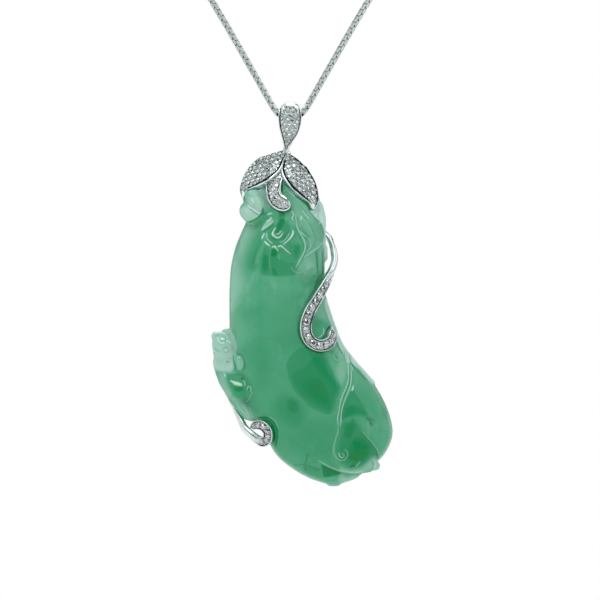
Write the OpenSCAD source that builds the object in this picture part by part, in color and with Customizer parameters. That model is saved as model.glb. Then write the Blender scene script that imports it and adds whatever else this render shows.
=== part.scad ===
// A carved jade melon in a white metal mount of leaves and scrolls set with small stones,
// hung by its bail on a box chain. +X is the wearer's left, -Y the front and +Z up.
// The origin is the middle of the chain at the nape, where the necklace lies on the neck.

/* [Jade] */
// Height of the carved jade
jade_h = 54; // [48:1:60]
// Width of the carved jade
jade_w = 28; // [25:1:31]
// How far the jade bulges in front of its edge
jade_front = 6.6; // [5.6:0.2:7.6]
// How far the jade bulges behind its edge
jade_back = 4.4; // [3.6:0.2:5.2]
// Thickness of the carved tendrils
tendril_d = 1; // [0.8:0.1:1.3]
// Length of the carved beast on the left edge
beast_l = 15.6; // [13:0.2:18]
// Width of the carved bud at the top left
bud_w = 4.2; // [3.4:0.2:5]

/* [Mount] */
// Width of the two leaves together
leaves_w = 13.3; // [12:0.1:14.5]
// Height of the leaves, from the neck to the lowest tip
leaves_h = 10; // [9:0.1:11]
// Thickness of the leaves, the bail and the scrolls
metal_t = 1; // [0.9:0.05:1.2]
// Depth of the bed that the stones are set in
bed = 0.45; // [0.35:0.05:0.5]
// Width of the plain rim round each bed
rim = 0.22; // [0.16:0.02:0.3]
// Width of the scroll on the right
vine_w = 2.05; // [1.9:0.05:2.4]
// Width of the hook at the lower left
hook_w = 1.9; // [1.75:0.05:2.2]
// Width of the bail at the chain
bail_w = 3.4; // [3:0.1:3.7]
// Distance from the chain down to the neck where bail and leaves join
bail_l = 5.6; // [5:0.2:7]
// Diameter of the hidden post that stands on the jade's top end
post_d = 1.8; // [1.4:0.1:2.4]

/* [Stones] */
// Diameter of each small stone in the bail, the leaves and the stem
stone_d = 0.76; // [0.7:0.02:0.84]
// Diameter of each stone in the scroll
vine_stone_d = 1.16; // [1:0.02:1.24]
// Diameter of each stone in the hook
hook_stone_d = 0.9; // [0.8:0.02:1]
// Clear space between two stones
stone_gap = 0.11; // [0.1:0.01:0.2]

/* [Chain] */
// Thickness of the chain
chain_d = 1.25; // [1:0.05:1.4]
// Height of the nape above the bail
nape_up = 120; // [100:2:140]
// Distance from the nape forward to the bail
nape_back = 112; // [95:1:130]
// Width of the chain's loop at the neck
loop_w = 120; // [105:1:140]
// Outer diameter of the clasp ring
clasp_d = 6; // [5:0.2:8]
// Wire of the clasp ring
clasp_wire = 1.2; // [0.9:0.1:1.5]
// Outer diameter of the small link at each chain end
link_d = 3; // [2.6:0.1:3.6]
// Wire of the small links
link_wire = 0.6; // [0.5:0.05:0.8]

/* [Fits] */
// Space between the metal and the jade that it is let into
seat_gap = 0.1; // [0.05:0.01:0.2]
// Space between two rings, or a ring and the end of the chain
ring_gap = 0.15; // [0.1:0.05:0.25]
// Space above the chain inside the bail, in the middle; its edges hang lower on the bent chain
bail_gap = 0.85; // [0.8:0.05:1.2]
// Distance from the chain back to the plane of the jade's edge
jade_set_back = 0.9; // [0.5:0.1:1.5]

/* [Hidden] */

// The tables chart the front view in equal steps, counted across from the chain's middle and
// down from the jade's top: jade_steps of them make the jade's width and height. Depths are
// hundredths of the jade's bulge, to the front or, below zero, to the back.
jade_steps = [165, 317];
leaf_steps = [78, 59];
cap_lap = 3.5;
jade_top = -bail_l - cap_lap;
section_power = 2.2;

// Rows of the melon: down, left edge, right edge, depth
BODY = [
    [0, -22, 4, 20], [3, -31, 12, 38], [10, -39, 20, 54], [20, -43, 26, 65],
    [32, -44, 31, 72], [47, -43, 36, 78], [62, -49, 36, 84], [77, -55, 36, 90],
    [97, -59.5, 35, 96], [122, -61, 35.5, 100], [147, -61, 41, 100], [167, -60.5, 47.5, 100],
    [182, -59.5, 57, 100], [197, -57, 70, 100], [212, -53, 83, 100], [232, -44, 94.5, 98],
    [252, -33, 102, 92], [267, -24, 102.5, 85], [282, -15.5, 96, 74], [292, -6, 87, 63],
    [302, 7, 74, 50], [308, 18, 66, 37], [313, 31, 55, 23], [315, 38, 48, 8]
];
body_rings = 34;
front_sides = 16;
back_sides = 8;

// Smooth value of a table at t, counted in rows
function clamp(v, low, high) = max(low, min(high, v));
function along(rows, t) =
    let (
        last = len(rows) - 1, c = clamp(t, 0, last), i = min(last - 1, floor(c)), f = c - i,
        a = rows[max(0, i - 1)], b = rows[i], d = rows[i + 1], e = rows[min(last, i + 2)]
    )
    b + f * (d - a) / 2 + f * f * (a - 2.5 * b + 2 * d - e / 2)
        + f * f * f * (1.5 * (b - d) + (e - a) / 2);
function unit(v) = v / norm(v);
function samples(rows, count) = [for (i = [0:count]) along(rows, i * (len(rows) - 1) / count)];

// Places on the chart, in millimetres
function across(steps) = steps * jade_w / jade_steps[0];
function below(steps) = jade_top - steps * jade_h / jade_steps[1];
function depth(share) = jade_set_back - share / 100 * (share > 0 ? jade_front : jade_back);

// The melon's front surface at a place on the chart
body_track = [for (i = [0:120]) let (t = i * (len(BODY) - 1) / 120) [along(BODY, t)[0], t]];
function body_at(steps) = along(BODY, lookup(steps, body_track));
function bulge(a, steps) =
    let (row = body_at(steps), mid = (row[1] + row[2]) / 2, half = (row[2] - row[1]) / 2,
         u = min(0.99, abs(a - mid) / half))
    row[3] * pow(1 - pow(u, section_power), 1 / section_power);
function on_front(a, steps, lift = 0) = [across(a), depth(bulge(a, steps)) - lift, below(steps)];

// A closed skin over rings of equal length, with flat ends
module skin(rings) {
    n = len(rings[0]);
    last = len(rings) - 1;
    sides = [
        for (i = [0:last - 1], j = [0:n - 1])
            let (a = i * n + j, b = i * n + (j + 1) % n)
            each [[a, b, b + n], [a, b + n, a + n]]
    ];
    ends = [[for (j = [n - 1:-1:0]) j], [for (j = [0:n - 1]) last * n + j]];
    polyhedron([for (r = rings) each r], concat(sides, ends));
}

// A round tube through points; width and turn follow the path
function heading(path, i) = unit(path[min(len(path) - 1, i + 1)] - path[max(0, i - 1)]);
function tube_ring(path, i, r, sides, up) =
    let (t = heading(path, i), side = unit(cross(t, up)), top = cross(side, t))
    [for (j = [0:sides - 1]) path[i] + r * (cos(360 * j / sides) * side + sin(360 * j / sides) * top)];
module tube(path, radii, sides, up) {
    skin([for (i = [0:len(path) - 1]) tube_ring(path, i, radii[i], sides, up)]);
}

// The melon's own solid
function body_point(row, angle) =
    let (
        bend = 2 / section_power, c = cos(angle), s = sin(angle),
        half = (row[2] - row[1]) / 2, mid = (row[1] + row[2]) / 2
    )
    [
        across(mid + half * sign(c) * pow(abs(c), bend)),
        depth(row[3] * sign(s) * pow(abs(s), bend)),
        below(row[0])
    ];
module melon() {
    angles = concat(
        [for (i = [0:back_sides - 1]) -180 * i / back_sides],
        [for (i = [0:front_sides - 1]) 180 - 180 * i / front_sides]
    );
    skin([for (row = samples(BODY, body_rings)) [for (a = angles) body_point(row, a)]]);
}

// One rounded lump of carving: a hull of two balls, from one place to another
module lump(from, to, r, r_end = 0) {
    hull() {
        translate(from) sphere(r, $fn = 10);
        translate(to) sphere(r_end == 0 ? r : r_end, $fn = 10);
    }
}
function place(a, steps, fore) = [across(a), depth(fore), below(steps)];

// The beast, in shares of its length: two ends of each lump (across, down, depth) and their radii
BEAST = [
    [[-66, 174, 30], [-65, 184, 28], 0.135, 0.13],
    [[-74, 166, 22], [-70, 168, 26], 0.055, 0.06],
    [[-64, 163, 20], [-61, 165, 26], 0.055, 0.06],
    [[-70, 186, 40], [-65, 188, 42], 0.075, 0.07],
    [[-65, 192, 18], [-62, 208, 14], 0.136, 0.12],
    [[-60, 190, 34], [-54, 200, 40], 0.07, 0.066],
    [[-53, 188, 46], [-49, 196, 52], 0.055, 0.065],
    [[-62, 208, 8], [-55, 222, 12], 0.118, 0.108],
    [[-53, 214, 34], [-50, 220, 36], 0.125, 0.115],
    [[-45, 216, 48], [-41, 221, 54], 0.05, 0.055],
    [[-55, 226, 4], [-42, 244, 16], 0.09, 0.066],
    [[-42, 244, 16], [-37, 247.5, 22], 0.066, 0.048]
];
module beast() {
    for (row = BEAST)
        lump(place(row[0][0], row[0][1], row[0][2]), place(row[1][0], row[1][1], row[1][2]),
             row[2] * beast_l, row[3] * beast_l);
}

// Buds, leaf folds and blossom ends, in shares of the bud's width
BUDS = [
    [[-41, 41, 50], [-36, 46, 58], 0.4, 0.42],
    [[-37, 27, 56], [-32, 36, 62], 0.34, 0.36],
    [[30, 34, 34], [30.5, 46, 34], 0.22, 0.26],
    [[30.5, 46, 34], [32, 62, 26], 0.26, 0.14],
    [[34, 78, 14], [35, 88, 14], 0.16, 0.13],
    [[41, 311.5, 12], [46.5, 311.5, 12], 0.22, 0.22],
    [[80, 293, 34], [85, 296, 32], 0.24, 0.22]
];
module buds() {
    for (row = BUDS)
        lump(place(row[0][0], row[0][1], row[0][2]), place(row[1][0], row[1][1], row[1][2]),
             row[2] * bud_w, row[3] * bud_w);
}

// The flattened small melon that lies over the large one at the lower right: across, down,
// depth, radius
SMALL_MELON = [
    [31, 258, 52, 1], [36, 262, 58, 12], [45, 269, 54, 20], [54, 276, 51, 22.5], [62, 282, 50, 21.5],
    [70, 287.5, 45, 17.5], [77, 291.5, 40, 12], [82, 294, 33, 7], [85, 295.5, 30, 1]
];
small_flat = 0.55;
module small_melon() {
    path = samples(SMALL_MELON, 14);
    scale([1, small_flat, 1])
        tube([for (p = path) let (q = place(p[0], p[1], p[2])) [q[0], q[1] / small_flat, q[2]]],
             [for (p = path) across(max(1, p[3]))], 14, [0, 1, 0]);
}

// Carved tendrils that lie on the melon: across, down, thickness as a share; the main one also
// has its lift over the small melon, in shares of its thickness
MAIN_TENDRIL = [
    [30, 70, 1, 0], [33, 100, 0.9, 0], [33, 130, 0.8, 0], [40, 150, 0.8, 0], [48, 172, 0.9, 0],
    [57, 192, 1, 0], [60, 212, 1, 0], [52, 230, 0.9, 0], [48, 248, 0.8, 0.1], [46, 264, 0.8, 0.2],
    [44, 274, 0.8, 0.3], [45.5, 284, 0.8, 0.3], [51, 288.5, 0.8, 0.4], [57, 285.5, 0.7, 0.6],
    [56, 280, 0.6, 0.6]
];
CROWN_CURL = [
    [-27, 69, 0.5], [-23, 76, 0.8], [-15, 79, 1], [-5, 75, 1], [1, 66, 1], [1, 57, 0.9],
    [-5, 50, 0.8], [-12, 51, 0.7], [-15, 58, 0.7], [-12, 63, 0.6]
];
// Ridges of the carved leaves at the top and of the small forks below, as the tendrils
FOLDS = [
    [[-20, 41, 0.6], [-25, 51, 1.4], [-31, 60, 0.7]],
    [[4, 54, 0.8], [12, 66, 1.3], [14, 78, 1.3], [7, 92, 0.7], [4, 100, 0.4]],
    [[9, 46, 0.8], [17, 58, 1.3], [21, 70, 1.3], [19, 80, 0.6]],
    [[31, 70, 0.7], [24, 80, 1.3], [15, 86, 1.2], [9, 93, 0.5]],
    [[28, 76, 0.6], [28.5, 92, 1], [27, 106, 0.6]],
    [[13, 108, 0.5], [18, 98, 0.9], [24, 96, 0.8], [25, 106, 0.5]],
    [[18, 114, 0.4], [15, 123, 0.8], [13, 132, 0.4]],
    [[46, 188, 0.5], [44, 183, 0.7], [49, 177, 0.8], [54, 180, 0.5]]
];
module tendril(rows, count) {
    path = samples(rows, count);
    tube([for (p = path) on_front(p[0], p[1], len(p) > 3 ? p[3] * tendril_d : 0)],
         [for (p = path) p[2] * tendril_d / 2], 6, [0, 1, 0]);
}

// The ridge along the right edge: across, down, depth, thickness as a share
EDGE_RIDGE = [
    [34, 128, 10, 0.6], [40, 150, 12, 0.9], [49, 175, 12, 1.2], [62, 193, 12, 1.4],
    [74, 206, 12, 1.3], [83, 214, 10, 0.9]
];
module edge_ridge() {
    path = samples(EDGE_RIDGE, 14);
    tube([for (p = path) place(p[0] - 2, p[1], p[2])], [for (p = path) p[3] * tendril_d / 2], 6, [0, 1, 0]);
}

// Bands of metal. A station is its middle, the way it faces, half its width, how far its edges
// fall back, and the share of the bed's depth that is cut there.
function band_frame(stations, i) =
    let (
        t = unit(stations[min(len(stations) - 1, i + 1)][0] - stations[max(0, i - 1)][0]),
        side = unit(cross(t, stations[i][1]))
    )
    [t, side, cross(side, t)];
function band_point(s, frame, v, n) =
    s[0] + frame[1] * v + frame[2] * (n - s[3] * pow(v / s[2], 2));
function band_ring(stations, i) =
    let (
        s = stations[i], f = band_frame(stations, i), w = s[2], r = min(rim, 0.45 * w),
        floor_n = metal_t - bed * s[4], crown = 0.1 * metal_t * (1 - s[4]), edge = 0.12 * metal_t,
        profile = [
            [-w * 0.7, 0], [w * 0.7, 0], [w, edge], [w, metal_t - edge], [w - r, metal_t],
            [w - r, floor_n], [0, floor_n + crown], [-w + r, floor_n], [-w + r, metal_t],
            [-w, metal_t - edge], [-w, edge]
        ]
    )
    [for (p = profile) band_point(s, f, p[0], p[1])];
module band(stations) {
    skin([for (i = [0:len(stations) - 1]) band_ring(stations, i)]);
}
// The space that a band needs in the jade, cleared well above the band
seat_reach = 2;
function seat_ring(stations, i) =
    let (
        s = stations[i], f = band_frame(stations, i), w = s[2] + seat_gap, last = len(stations) - 1,
        push = (i == last ? 1 : i == 0 ? -1 : 0) * seat_gap * f[0], top = metal_t + seat_reach
    )
    [for (p = [[-w, -seat_gap], [w, -seat_gap], [w, top], [-w, top]]) band_point(s, f, p[0], p[1]) + push];
module band_seat(stations) {
    skin([for (i = [0:len(stations) - 1]) seat_ring(stations, i)]);
}

// Scrolls that clip round the jade: across, down, depth of the underside, width as a share,
// the way the band faces in degrees from the front, and share of the bed
VINE = [
    [26, 58, -66, 0.4, 160, 0], [34, 65, -58, 0.44, 118, 0], [38.5, 73, -38, 0.48, 80, 0],
    [41.5, 83, -12, 0.5, 58, 0], [42, 92, 12, 0.52, 48, 0], [39.5, 101, 34, 0.58, 42, 0],
    [35.5, 109, 50, 0.72, 36, 0.9], [30.5, 119, 63, 0.82, 30, 1], [24.5, 130, 77, 0.9, 24, 1],
    [18.5, 141, 87, 0.96, 18, 1], [15, 152.5, 92, 1, 14, 1], [15.5, 163.5, 93, 1, 14, 1],
    [20, 171.5, 91, 1, 18, 1], [27.5, 175, 84, 1, 24, 1], [35, 173.5, 74, 1, 32, 1],
    [40.5, 168, 62, 0.96, 38, 1], [42.5, 160.5, 52, 0.86, 42, 1], [42, 154.5, 34, 0.64, 48, 0.2],
    [40, 150, 8, 0.5, 56, 0]
];
HOOK = [
    [-50, 219, -72, 0.36, -150, 0], [-59.5, 227, -36, 0.38, -84, 0], [-58.5, 235, -14, 0.38, -50, 0],
    [-54.4, 243.3, -4, 0.44, -40, 0], [-49.4, 250.6, 2, 0.52, -34, 0], [-44, 257.4, 6, 0.6, -30, 0],
    [-38, 263.4, 10, 0.68, -28, 0], [-31.5, 268.6, 16, 0.78, -26, 0.2], [-25, 271.2, 24, 0.94, -24, 1],
    [-20.4, 267, 36, 0.96, -22, 1], [-20.8, 260, 50, 0.94, -24, 1], [-25.4, 255, 56, 0.92, -28, 1],
    [-30, 254.2, 50, 0.84, -32, 1], [-33.4, 255, 42, 0.68, -34, 1], [-35.6, 256.2, 36, 0.3, -36, 0]
];
function scroll_station(p, w) =
    [place(p[0], p[1], p[2]), [sin(p[4]), -cos(p[4]), 0], w / 2 * p[3], 0, clamp(p[5], 0, 1)];
fine = 6;
function vine_stations(count) = [for (p = samples(VINE, count)) scroll_station(p, vine_w)];
function hook_stations(count) = [for (p = samples(HOOK, count)) scroll_station(p, hook_w)];
vine_count = 46;
hook_count = 34;
vine = vine_stations(vine_count);
hook = hook_stations(hook_count);

// The leaves lie on a dome over the jade's top
dome = [jade_w * 0.3, jade_front * 0.78 + seat_gap + metal_t, jade_h * 0.22];
dome_middle = [across(-9), jade_set_back, below(47)];
neck = [across(-4), 0, -bail_l];
function dome_point(x, z) =
    let (dx = (x - dome_middle[0]) / dome[0], dz = (z - dome_middle[2]) / dome[2])
    [x, dome_middle[1] - dome[1] * sqrt(max(0.05, 1 - dx * dx - dz * dz)), z];
function dome_facing(p) =
    let (d = p - dome_middle) unit([d[0] / pow(dome[0], 2), d[1] / pow(dome[1], 2), d[2] / pow(dome[2], 2)]);
function leaf_x(steps) = neck[0] + steps * leaves_w / leaf_steps[0];
function leaf_z(steps) = neck[2] - steps * leaves_h / leaf_steps[1];

// Leaves and stem, from the neck: across, down, width, depth below the dome, share of the bed
LEFT_LEAF = [
    [-1, 2, 5, 0, 0], [-8.5, 9, 17, 0, 1], [-15.5, 14.5, 25, 0, 1], [-23, 20, 28, 0, 1],
    [-30.5, 26, 26, 0, 1], [-37, 32, 20, 0, 1], [-41.5, 39.5, 11, 0, 1], [-43, 49, 2, 0, 0]
];
RIGHT_LEAF = [
    [0, 3, 5, 0, 0], [3, 12, 18, 0, 1], [7.5, 21, 26, 0, 1], [14, 29.5, 27, 0, 1],
    [20, 38, 24, 0, 1], [24.5, 46, 18, 0, 1], [27, 53, 10, 0, 1], [27.5, 60, 2, 0, 0]
];
STEM = [
    [-5, 16, 7, 60, 0], [-11, 25, 10, 50, 1], [-13.5, 34, 13, 42, 1], [-13.5, 43, 14, 36, 1],
    [-9.5, 50.5, 15.5, 30, 1], [-3.5, 54, 16, 26, 1], [1.5, 54.5, 13, 25, 1], [4.5, 54, 6, 24, 0]
];
leaf_sag = 0.34;
post_lap = 0.5;
post_head = [neck[0], jade_set_back, neck[2] - post_lap];
function leaf_station(p) =
    let (top = dome_point(leaf_x(p[0]), leaf_z(p[1])), out = dome_facing(top))
    [
        top - out * metal_t * (1 + p[3] / 100), out, p[2] / 2 * leaves_w / leaf_steps[0],
        leaf_sag * min(1, p[2] / 24), clamp(p[4], 0, 1)
    ];
function leaf_stations(rows, count) = [for (p = samples(rows, count)) leaf_station(p)];
leaf_count = 18;
stem_count = 16;
left_leaf = leaf_stations(LEFT_LEAF, leaf_count);
right_leaf = leaf_stations(RIGHT_LEAF, leaf_count);
stem = leaf_stations(STEM, stem_count);

// The bail, a loop of strap round the chain. Place forward in shares of its inner radius, place
// up in shares of that radius or, below zero, of the bail's length, place across, width as a
// share, the way it faces in degrees up from the front, share of the bed
bail_r = chain_d / 2 + bail_gap;
BAIL = [
    [0.1, -0.98, -4, 0.1, -30, 0], [0.4, -0.84, -3.3, 0.24, -14, 1], [0.72, -0.66, -1.9, 0.52, -10, 1],
    [0.95, -0.45, -0.7, 0.82, -6, 1], [1.06, -0.22, -0.2, 0.98, -2, 1], [1, 0, 0, 1, 6, 1],
    [0.87, 0.42, 0, 0.96, 24, 1], [0.64, 0.8, 0, 0.88, 48, 1], [0.32, 1, 0.3, 0.76, 70, 0.2],
    [0, 1.06, 0.3, 0.74, 90, 0], [-0.4, 0.97, 0, 0.82, 116, 0], [-0.8, 0.55, -0.5, 0.98, 148, 0],
    [-0.98, -0.04, -0.6, 1.02, 176, 0], [-0.92, -0.28, -0.9, 0.98, 184, 0], [-0.68, -0.54, -1.8, 0.76, 190, 0],
    [-0.32, -0.8, -3, 0.46, 196, 0], [0, -0.96, -4, 0.3, 200, 0]
];
function bail_station(p) =
    [
        [across(p[2]), -p[0] * bail_r, p[1] * (p[1] > 0 ? bail_r : bail_l)], [0, -cos(p[4]), sin(p[4])],
        bail_w / 2 * p[3], 0, clamp(p[5], 0, 1)
    ];
function bail_stations(count) = [for (p = samples(BAIL, count)) bail_station(p)];
bail_count = 36;
bail = bail_stations(bail_count);

// Seats for the stones: a place in the bed and the way it faces
crown_share = 0.2;
pavilion_share = 0.42;
stone_lift = 0.05;
function band_place(stations, i, v) = band_point(stations[i], band_frame(stations, i), v, metal_t);
function marks(stations) =
    [
        for (i = 0, s = 0; i < len(stations);
             s = s + (i + 1 < len(stations) ? norm(stations[i + 1][0] - stations[i][0]) : 0), i = i + 1)
            [s, i]
    ];
function station_at(places, s) = round(lookup(s, places));
function seat(stations, i, v, d) =
    let (
        s = stations[i], f = band_frame(stations, i), out = unit(f[2] + f[1] * 2 * s[3] * v / pow(s[2], 2))
    )
    [band_point(s, f, v, 0) + out * (metal_t - bed * s[4] + pavilion_share * d + stone_lift), out];
function bed_half(s, d) = s[2] - rim - d / 2 - stone_lift;
function is_bed(s, d) = s[4] > 0.93 && bed_half(s, d) > -0.02;

// Rows of stones across a wide bed: rows are staggered, and each holds as many as fit
function field_seats(stations, d) =
    let (pitch = d + stone_gap, places = marks(stations), long = places[len(places) - 1][0], step = 0.88 * pitch)
    spaced([
        for (k = [0:floor(long / step)])
            let (i = station_at(places, (k + 0.5) * step), s = stations[i])
            if (is_bed(s, d))
                let (fit = floor(2 * max(0, bed_half(s, d)) / pitch) + 1, n = (fit + k) % 2 == 0 ? fit : fit - 1)
                for (j = [0:1:n - 1]) seat(stations, i, (j - (n - 1) / 2) * pitch, d)
    ], d);
// One row of stones along the middle of a narrow bed, each at the same distance from the last
function row_walk(stations, d, i, last) =
    i >= len(stations) ? [] :
    let (next = seat(stations, i, 0, d))
    is_bed(stations[i], d) && norm(next[0] - last) >= d + stone_gap ?
        concat([next], row_walk(stations, d, i + 1, next[0])) :
        row_walk(stations, d, i + 1, last);
function row_seats(stations, d) = spaced(row_walk(stations, d, 0, stations[0][0]), d);
// Leaves out each stone that would come too near one before it
function spaced(seats, d) =
    [
        for (i = [0:1:len(seats) - 1])
            let (near = [for (j = [0:1:i - 1]) if (norm(seats[i][0] - seats[j][0]) < d + 0.85 * stone_gap) j])
            if (len(near) == 0) seats[i]
    ];

// One cut stone: a table, eight crown facets and eight pavilion facets
module stone(d) {
    hull() {
        cylinder(r1 = d / 2, r2 = d * 0.29, h = crown_share * d, $fn = 8);
        translate([0, 0, -pavilion_share * d])
            cylinder(r1 = 0, r2 = d / 2, h = pavilion_share * d, $fn = 8);
    }
}
module stones(seats, d) {
    for (s = seats) {
        side = unit(cross([0, 0.3, 1], s[1]));
        up = cross(s[1], side);
        multmatrix([
            [side[0], up[0], s[1][0], s[0][0]], [side[1], up[1], s[1][1], s[0][1]],
            [side[2], up[2], s[1][2], s[0][2]], [0, 0, 0, 1]
        ]) stone(d);
    }
}

// The chain's route from the bail to its end at the nape, on the wearer's left: shares of half the
// loop's width, of the distance back and of the height
ROUTE = [
    [0, 0, 0], [0.014, 0, 0.0005], [0.028, 0.0005, 0.0025], [0.041, 0.002, 0.0085], [0.058, 0.0065, 0.022],
    [0.11, 0.028, 0.068], [0.23, 0.079, 0.172], [0.49, 0.18, 0.385], [0.75, 0.28, 0.6],
    [0.915, 0.375, 0.755], [0.995, 0.49, 0.865], [0.985, 0.645, 0.935], [0.83, 0.82, 0.975],
    [0.56, 0.935, 0.995], [0.28, 0.985, 1]
];
link_x = clasp_d / 2 - clasp_wire + link_d / 2 - link_wire - ring_gap;
chain_end = [link_x + link_d / 2 + ring_gap, nape_back, nape_up];
half_route = concat(
    [for (p = ROUTE) [p[0] * loop_w / 2, p[1] * nape_back, p[2] * nape_up]], [chain_end]
);
chain_rings = 38;

module on_neck() {
    translate([0, -nape_back, -nape_up]) children();
}

module jade() {
    color([0.3, 0.62, 0.46]) on_neck() difference() {
        union() {
            melon();
            beast();
            buds();
            small_melon();
            tendril(MAIN_TENDRIL, 30);
            tendril(CROWN_CURL, 20);
            edge_ridge();
            for (rows = FOLDS) tendril(rows, 2 * len(rows));
        }
        band_seat(vine);
        band_seat(hook);
        band_seat(left_leaf);
        band_seat(right_leaf);
        band_seat(stem);
    }
}

module leaf_mount() {
    color([0.86, 0.88, 0.88]) on_neck() {
        band(bail);
        band(left_leaf);
        band(right_leaf);
        band(stem);
        post();
        neck_knot();
    }
}

// The hidden post between the neck and the jade's top end
module post() {
    foot = jade_top + seat_gap;
    translate([neck[0], jade_set_back, foot]) cylinder(d = post_d, h = neck[2] - foot);
}

// The knot that joins the bail, the leaves, the stem and the post
module neck_knot() {
    knot_r = 0.42 * metal_t;
    ties = [left_leaf[2][0], right_leaf[2][0], bail[1][0], bail[bail_count - 1][0], stem[1][0], post_head];
    for (end = ties) hull() {
        translate(neck) sphere(knot_r * 1.3, $fn = 8);
        translate(end) sphere(knot_r, $fn = 8);
    }
}

module vine_scroll() {
    color([0.86, 0.88, 0.88]) on_neck() band(vine);
}

module edge_hook() {
    color([0.86, 0.88, 0.88]) on_neck() band(hook);
}

module bail_stones() {
    color("white") on_neck() stones(field_seats(bail_stations(fine * bail_count), stone_d), stone_d);
}

module left_leaf_stones() {
    color("white") on_neck() stones(field_seats(leaf_stations(LEFT_LEAF, fine * leaf_count), stone_d), stone_d);
}

module right_leaf_stones() {
    color("white") on_neck() stones(field_seats(leaf_stations(RIGHT_LEAF, fine * leaf_count), stone_d), stone_d);
}

module stem_stones() {
    color("white") on_neck() stones(field_seats(leaf_stations(STEM, fine * stem_count), stone_d), stone_d);
}

module vine_stones() {
    color("white") on_neck() stones(row_seats(vine_stations(fine * vine_count), vine_stone_d), vine_stone_d);
}

module hook_stones() {
    color("white") on_neck() stones(row_seats(hook_stations(fine * hook_count), hook_stone_d), hook_stone_d);
}

module chain() {
    right = samples(half_route, chain_rings);
    left = [for (i = [chain_rings:-1:1]) [-right[i][0], right[i][1], right[i][2]]];
    path = concat(left, right);
    color([0.72, 0.78, 0.77]) on_neck()
        tube(path, [for (p = path) chain_d / 2], 8, [0, 1, 0.001]);
}

// A round ring flat in the plane of X and Y, with its middle at a place
module ring(middle, d, wire) {
    translate(middle) rotate_extrude($fn = 48) translate([(d - wire) / 2, 0]) circle(d = wire, $fn = 24);
}

module clasp() {
    color([0.8, 0.83, 0.83]) rotate([90, 0, 0]) ring([0, 0, 0], clasp_d, clasp_wire);
}

module clasp_link_left() {
    color([0.8, 0.83, 0.83]) ring([link_x, 0, 0], link_d, link_wire);
}

module clasp_link_right() {
    color([0.8, 0.83, 0.83]) ring([-link_x, 0, 0], link_d, link_wire);
}

jade();
leaf_mount();
vine_scroll();
edge_hook();
bail_stones();
left_leaf_stones();
right_leaf_stones();
stem_stones();
vine_stones();
hook_stones();
chain();
clasp();
clasp_link_left();
clasp_link_right();
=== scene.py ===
import logging
import math
import random
from dataclasses import dataclass, field
from enum import Enum
from typing import Iterable, Iterator, Sequence, Union

import bmesh
import bpy
import numpy as np
from bmesh.types import BMesh, BMEdge, BMVert
from mathutils import Matrix, Vector


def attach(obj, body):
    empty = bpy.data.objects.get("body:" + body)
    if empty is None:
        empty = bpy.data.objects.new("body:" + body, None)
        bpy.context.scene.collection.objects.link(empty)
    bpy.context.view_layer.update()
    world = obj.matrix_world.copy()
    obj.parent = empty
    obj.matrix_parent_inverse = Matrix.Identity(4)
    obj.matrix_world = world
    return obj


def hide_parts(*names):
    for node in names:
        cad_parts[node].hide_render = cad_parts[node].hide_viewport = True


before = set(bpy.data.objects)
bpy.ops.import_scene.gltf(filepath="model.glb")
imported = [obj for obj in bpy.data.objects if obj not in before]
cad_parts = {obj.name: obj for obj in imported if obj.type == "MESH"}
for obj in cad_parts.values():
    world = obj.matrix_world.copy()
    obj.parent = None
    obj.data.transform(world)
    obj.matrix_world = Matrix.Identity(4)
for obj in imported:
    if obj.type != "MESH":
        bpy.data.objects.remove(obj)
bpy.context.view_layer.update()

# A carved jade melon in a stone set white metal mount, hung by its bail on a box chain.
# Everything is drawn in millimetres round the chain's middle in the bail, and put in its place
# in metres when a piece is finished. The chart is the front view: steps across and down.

LOG = logging.getLogger("pendant")
MM = 0.001
NECK_TO_BAIL = Vector((0.0, -112.0, -120.0))
TO_ROW = Matrix.Translation(NECK_TO_BAIL * MM) @ Matrix.Scale(MM, 4)
FRONT = Vector((0.0, -1.0, 0.0))
OFF_AXIS = Vector((0.05, 1, 0.02))
JADE_WIDTH, JADE_HEIGHT = 28.0, 54.0
# The chart's corner, in the picture's points: carved lines and patches are written in these
CORNER = (290.0, 170.0)
# the mask of painted shade in the beds and grooves of the metal
BED_MASK = "bed"
LUMP_SIDES = 20

Row = Sequence[float]
Point = tuple[float, float]
Colour = tuple[float, float, float, float]
Facts = dict[int | str, object]
Term = Union["Wire", float]


class Body(Enum):
    """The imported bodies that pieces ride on."""

    NECKLACE = "necklace"
    PENDANT = "pendant"


class Slot(Enum):
    """Names of the material slots."""

    JADE = "jade"
    GOLD = "white_gold"
    STONE = "diamond"
    CHAIN = "chain_metal"


# Places on the chart


@dataclass(frozen=True)
class Chart:
    """Turns steps of the front view into millimetres round the bail."""

    step_x: float = JADE_WIDTH / 165.0
    step_z: float = JADE_HEIGHT / 317.0
    top: float = -9.1
    set_back: float = 0.9
    fore: float = 6.6
    aft: float = 4.4

    def across(self, steps: float) -> float:
        """Distance to the wearer's left."""
        return steps * self.step_x

    def below(self, steps: float) -> float:
        """Height at a number of steps under the jade's top."""
        return self.top - steps * self.step_z

    def depth(self, share: float) -> float:
        """Place from front to back, for hundredths of the jade's bulge."""
        return self.set_back - share / 100 * (self.fore if share > 0 else self.aft)

    def place(self, across: float, down: float, share: float) -> Vector:
        """A point by its steps and its share of the bulge."""
        return Vector((self.across(across), self.depth(share), self.below(down)))


CHART = Chart()


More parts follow.
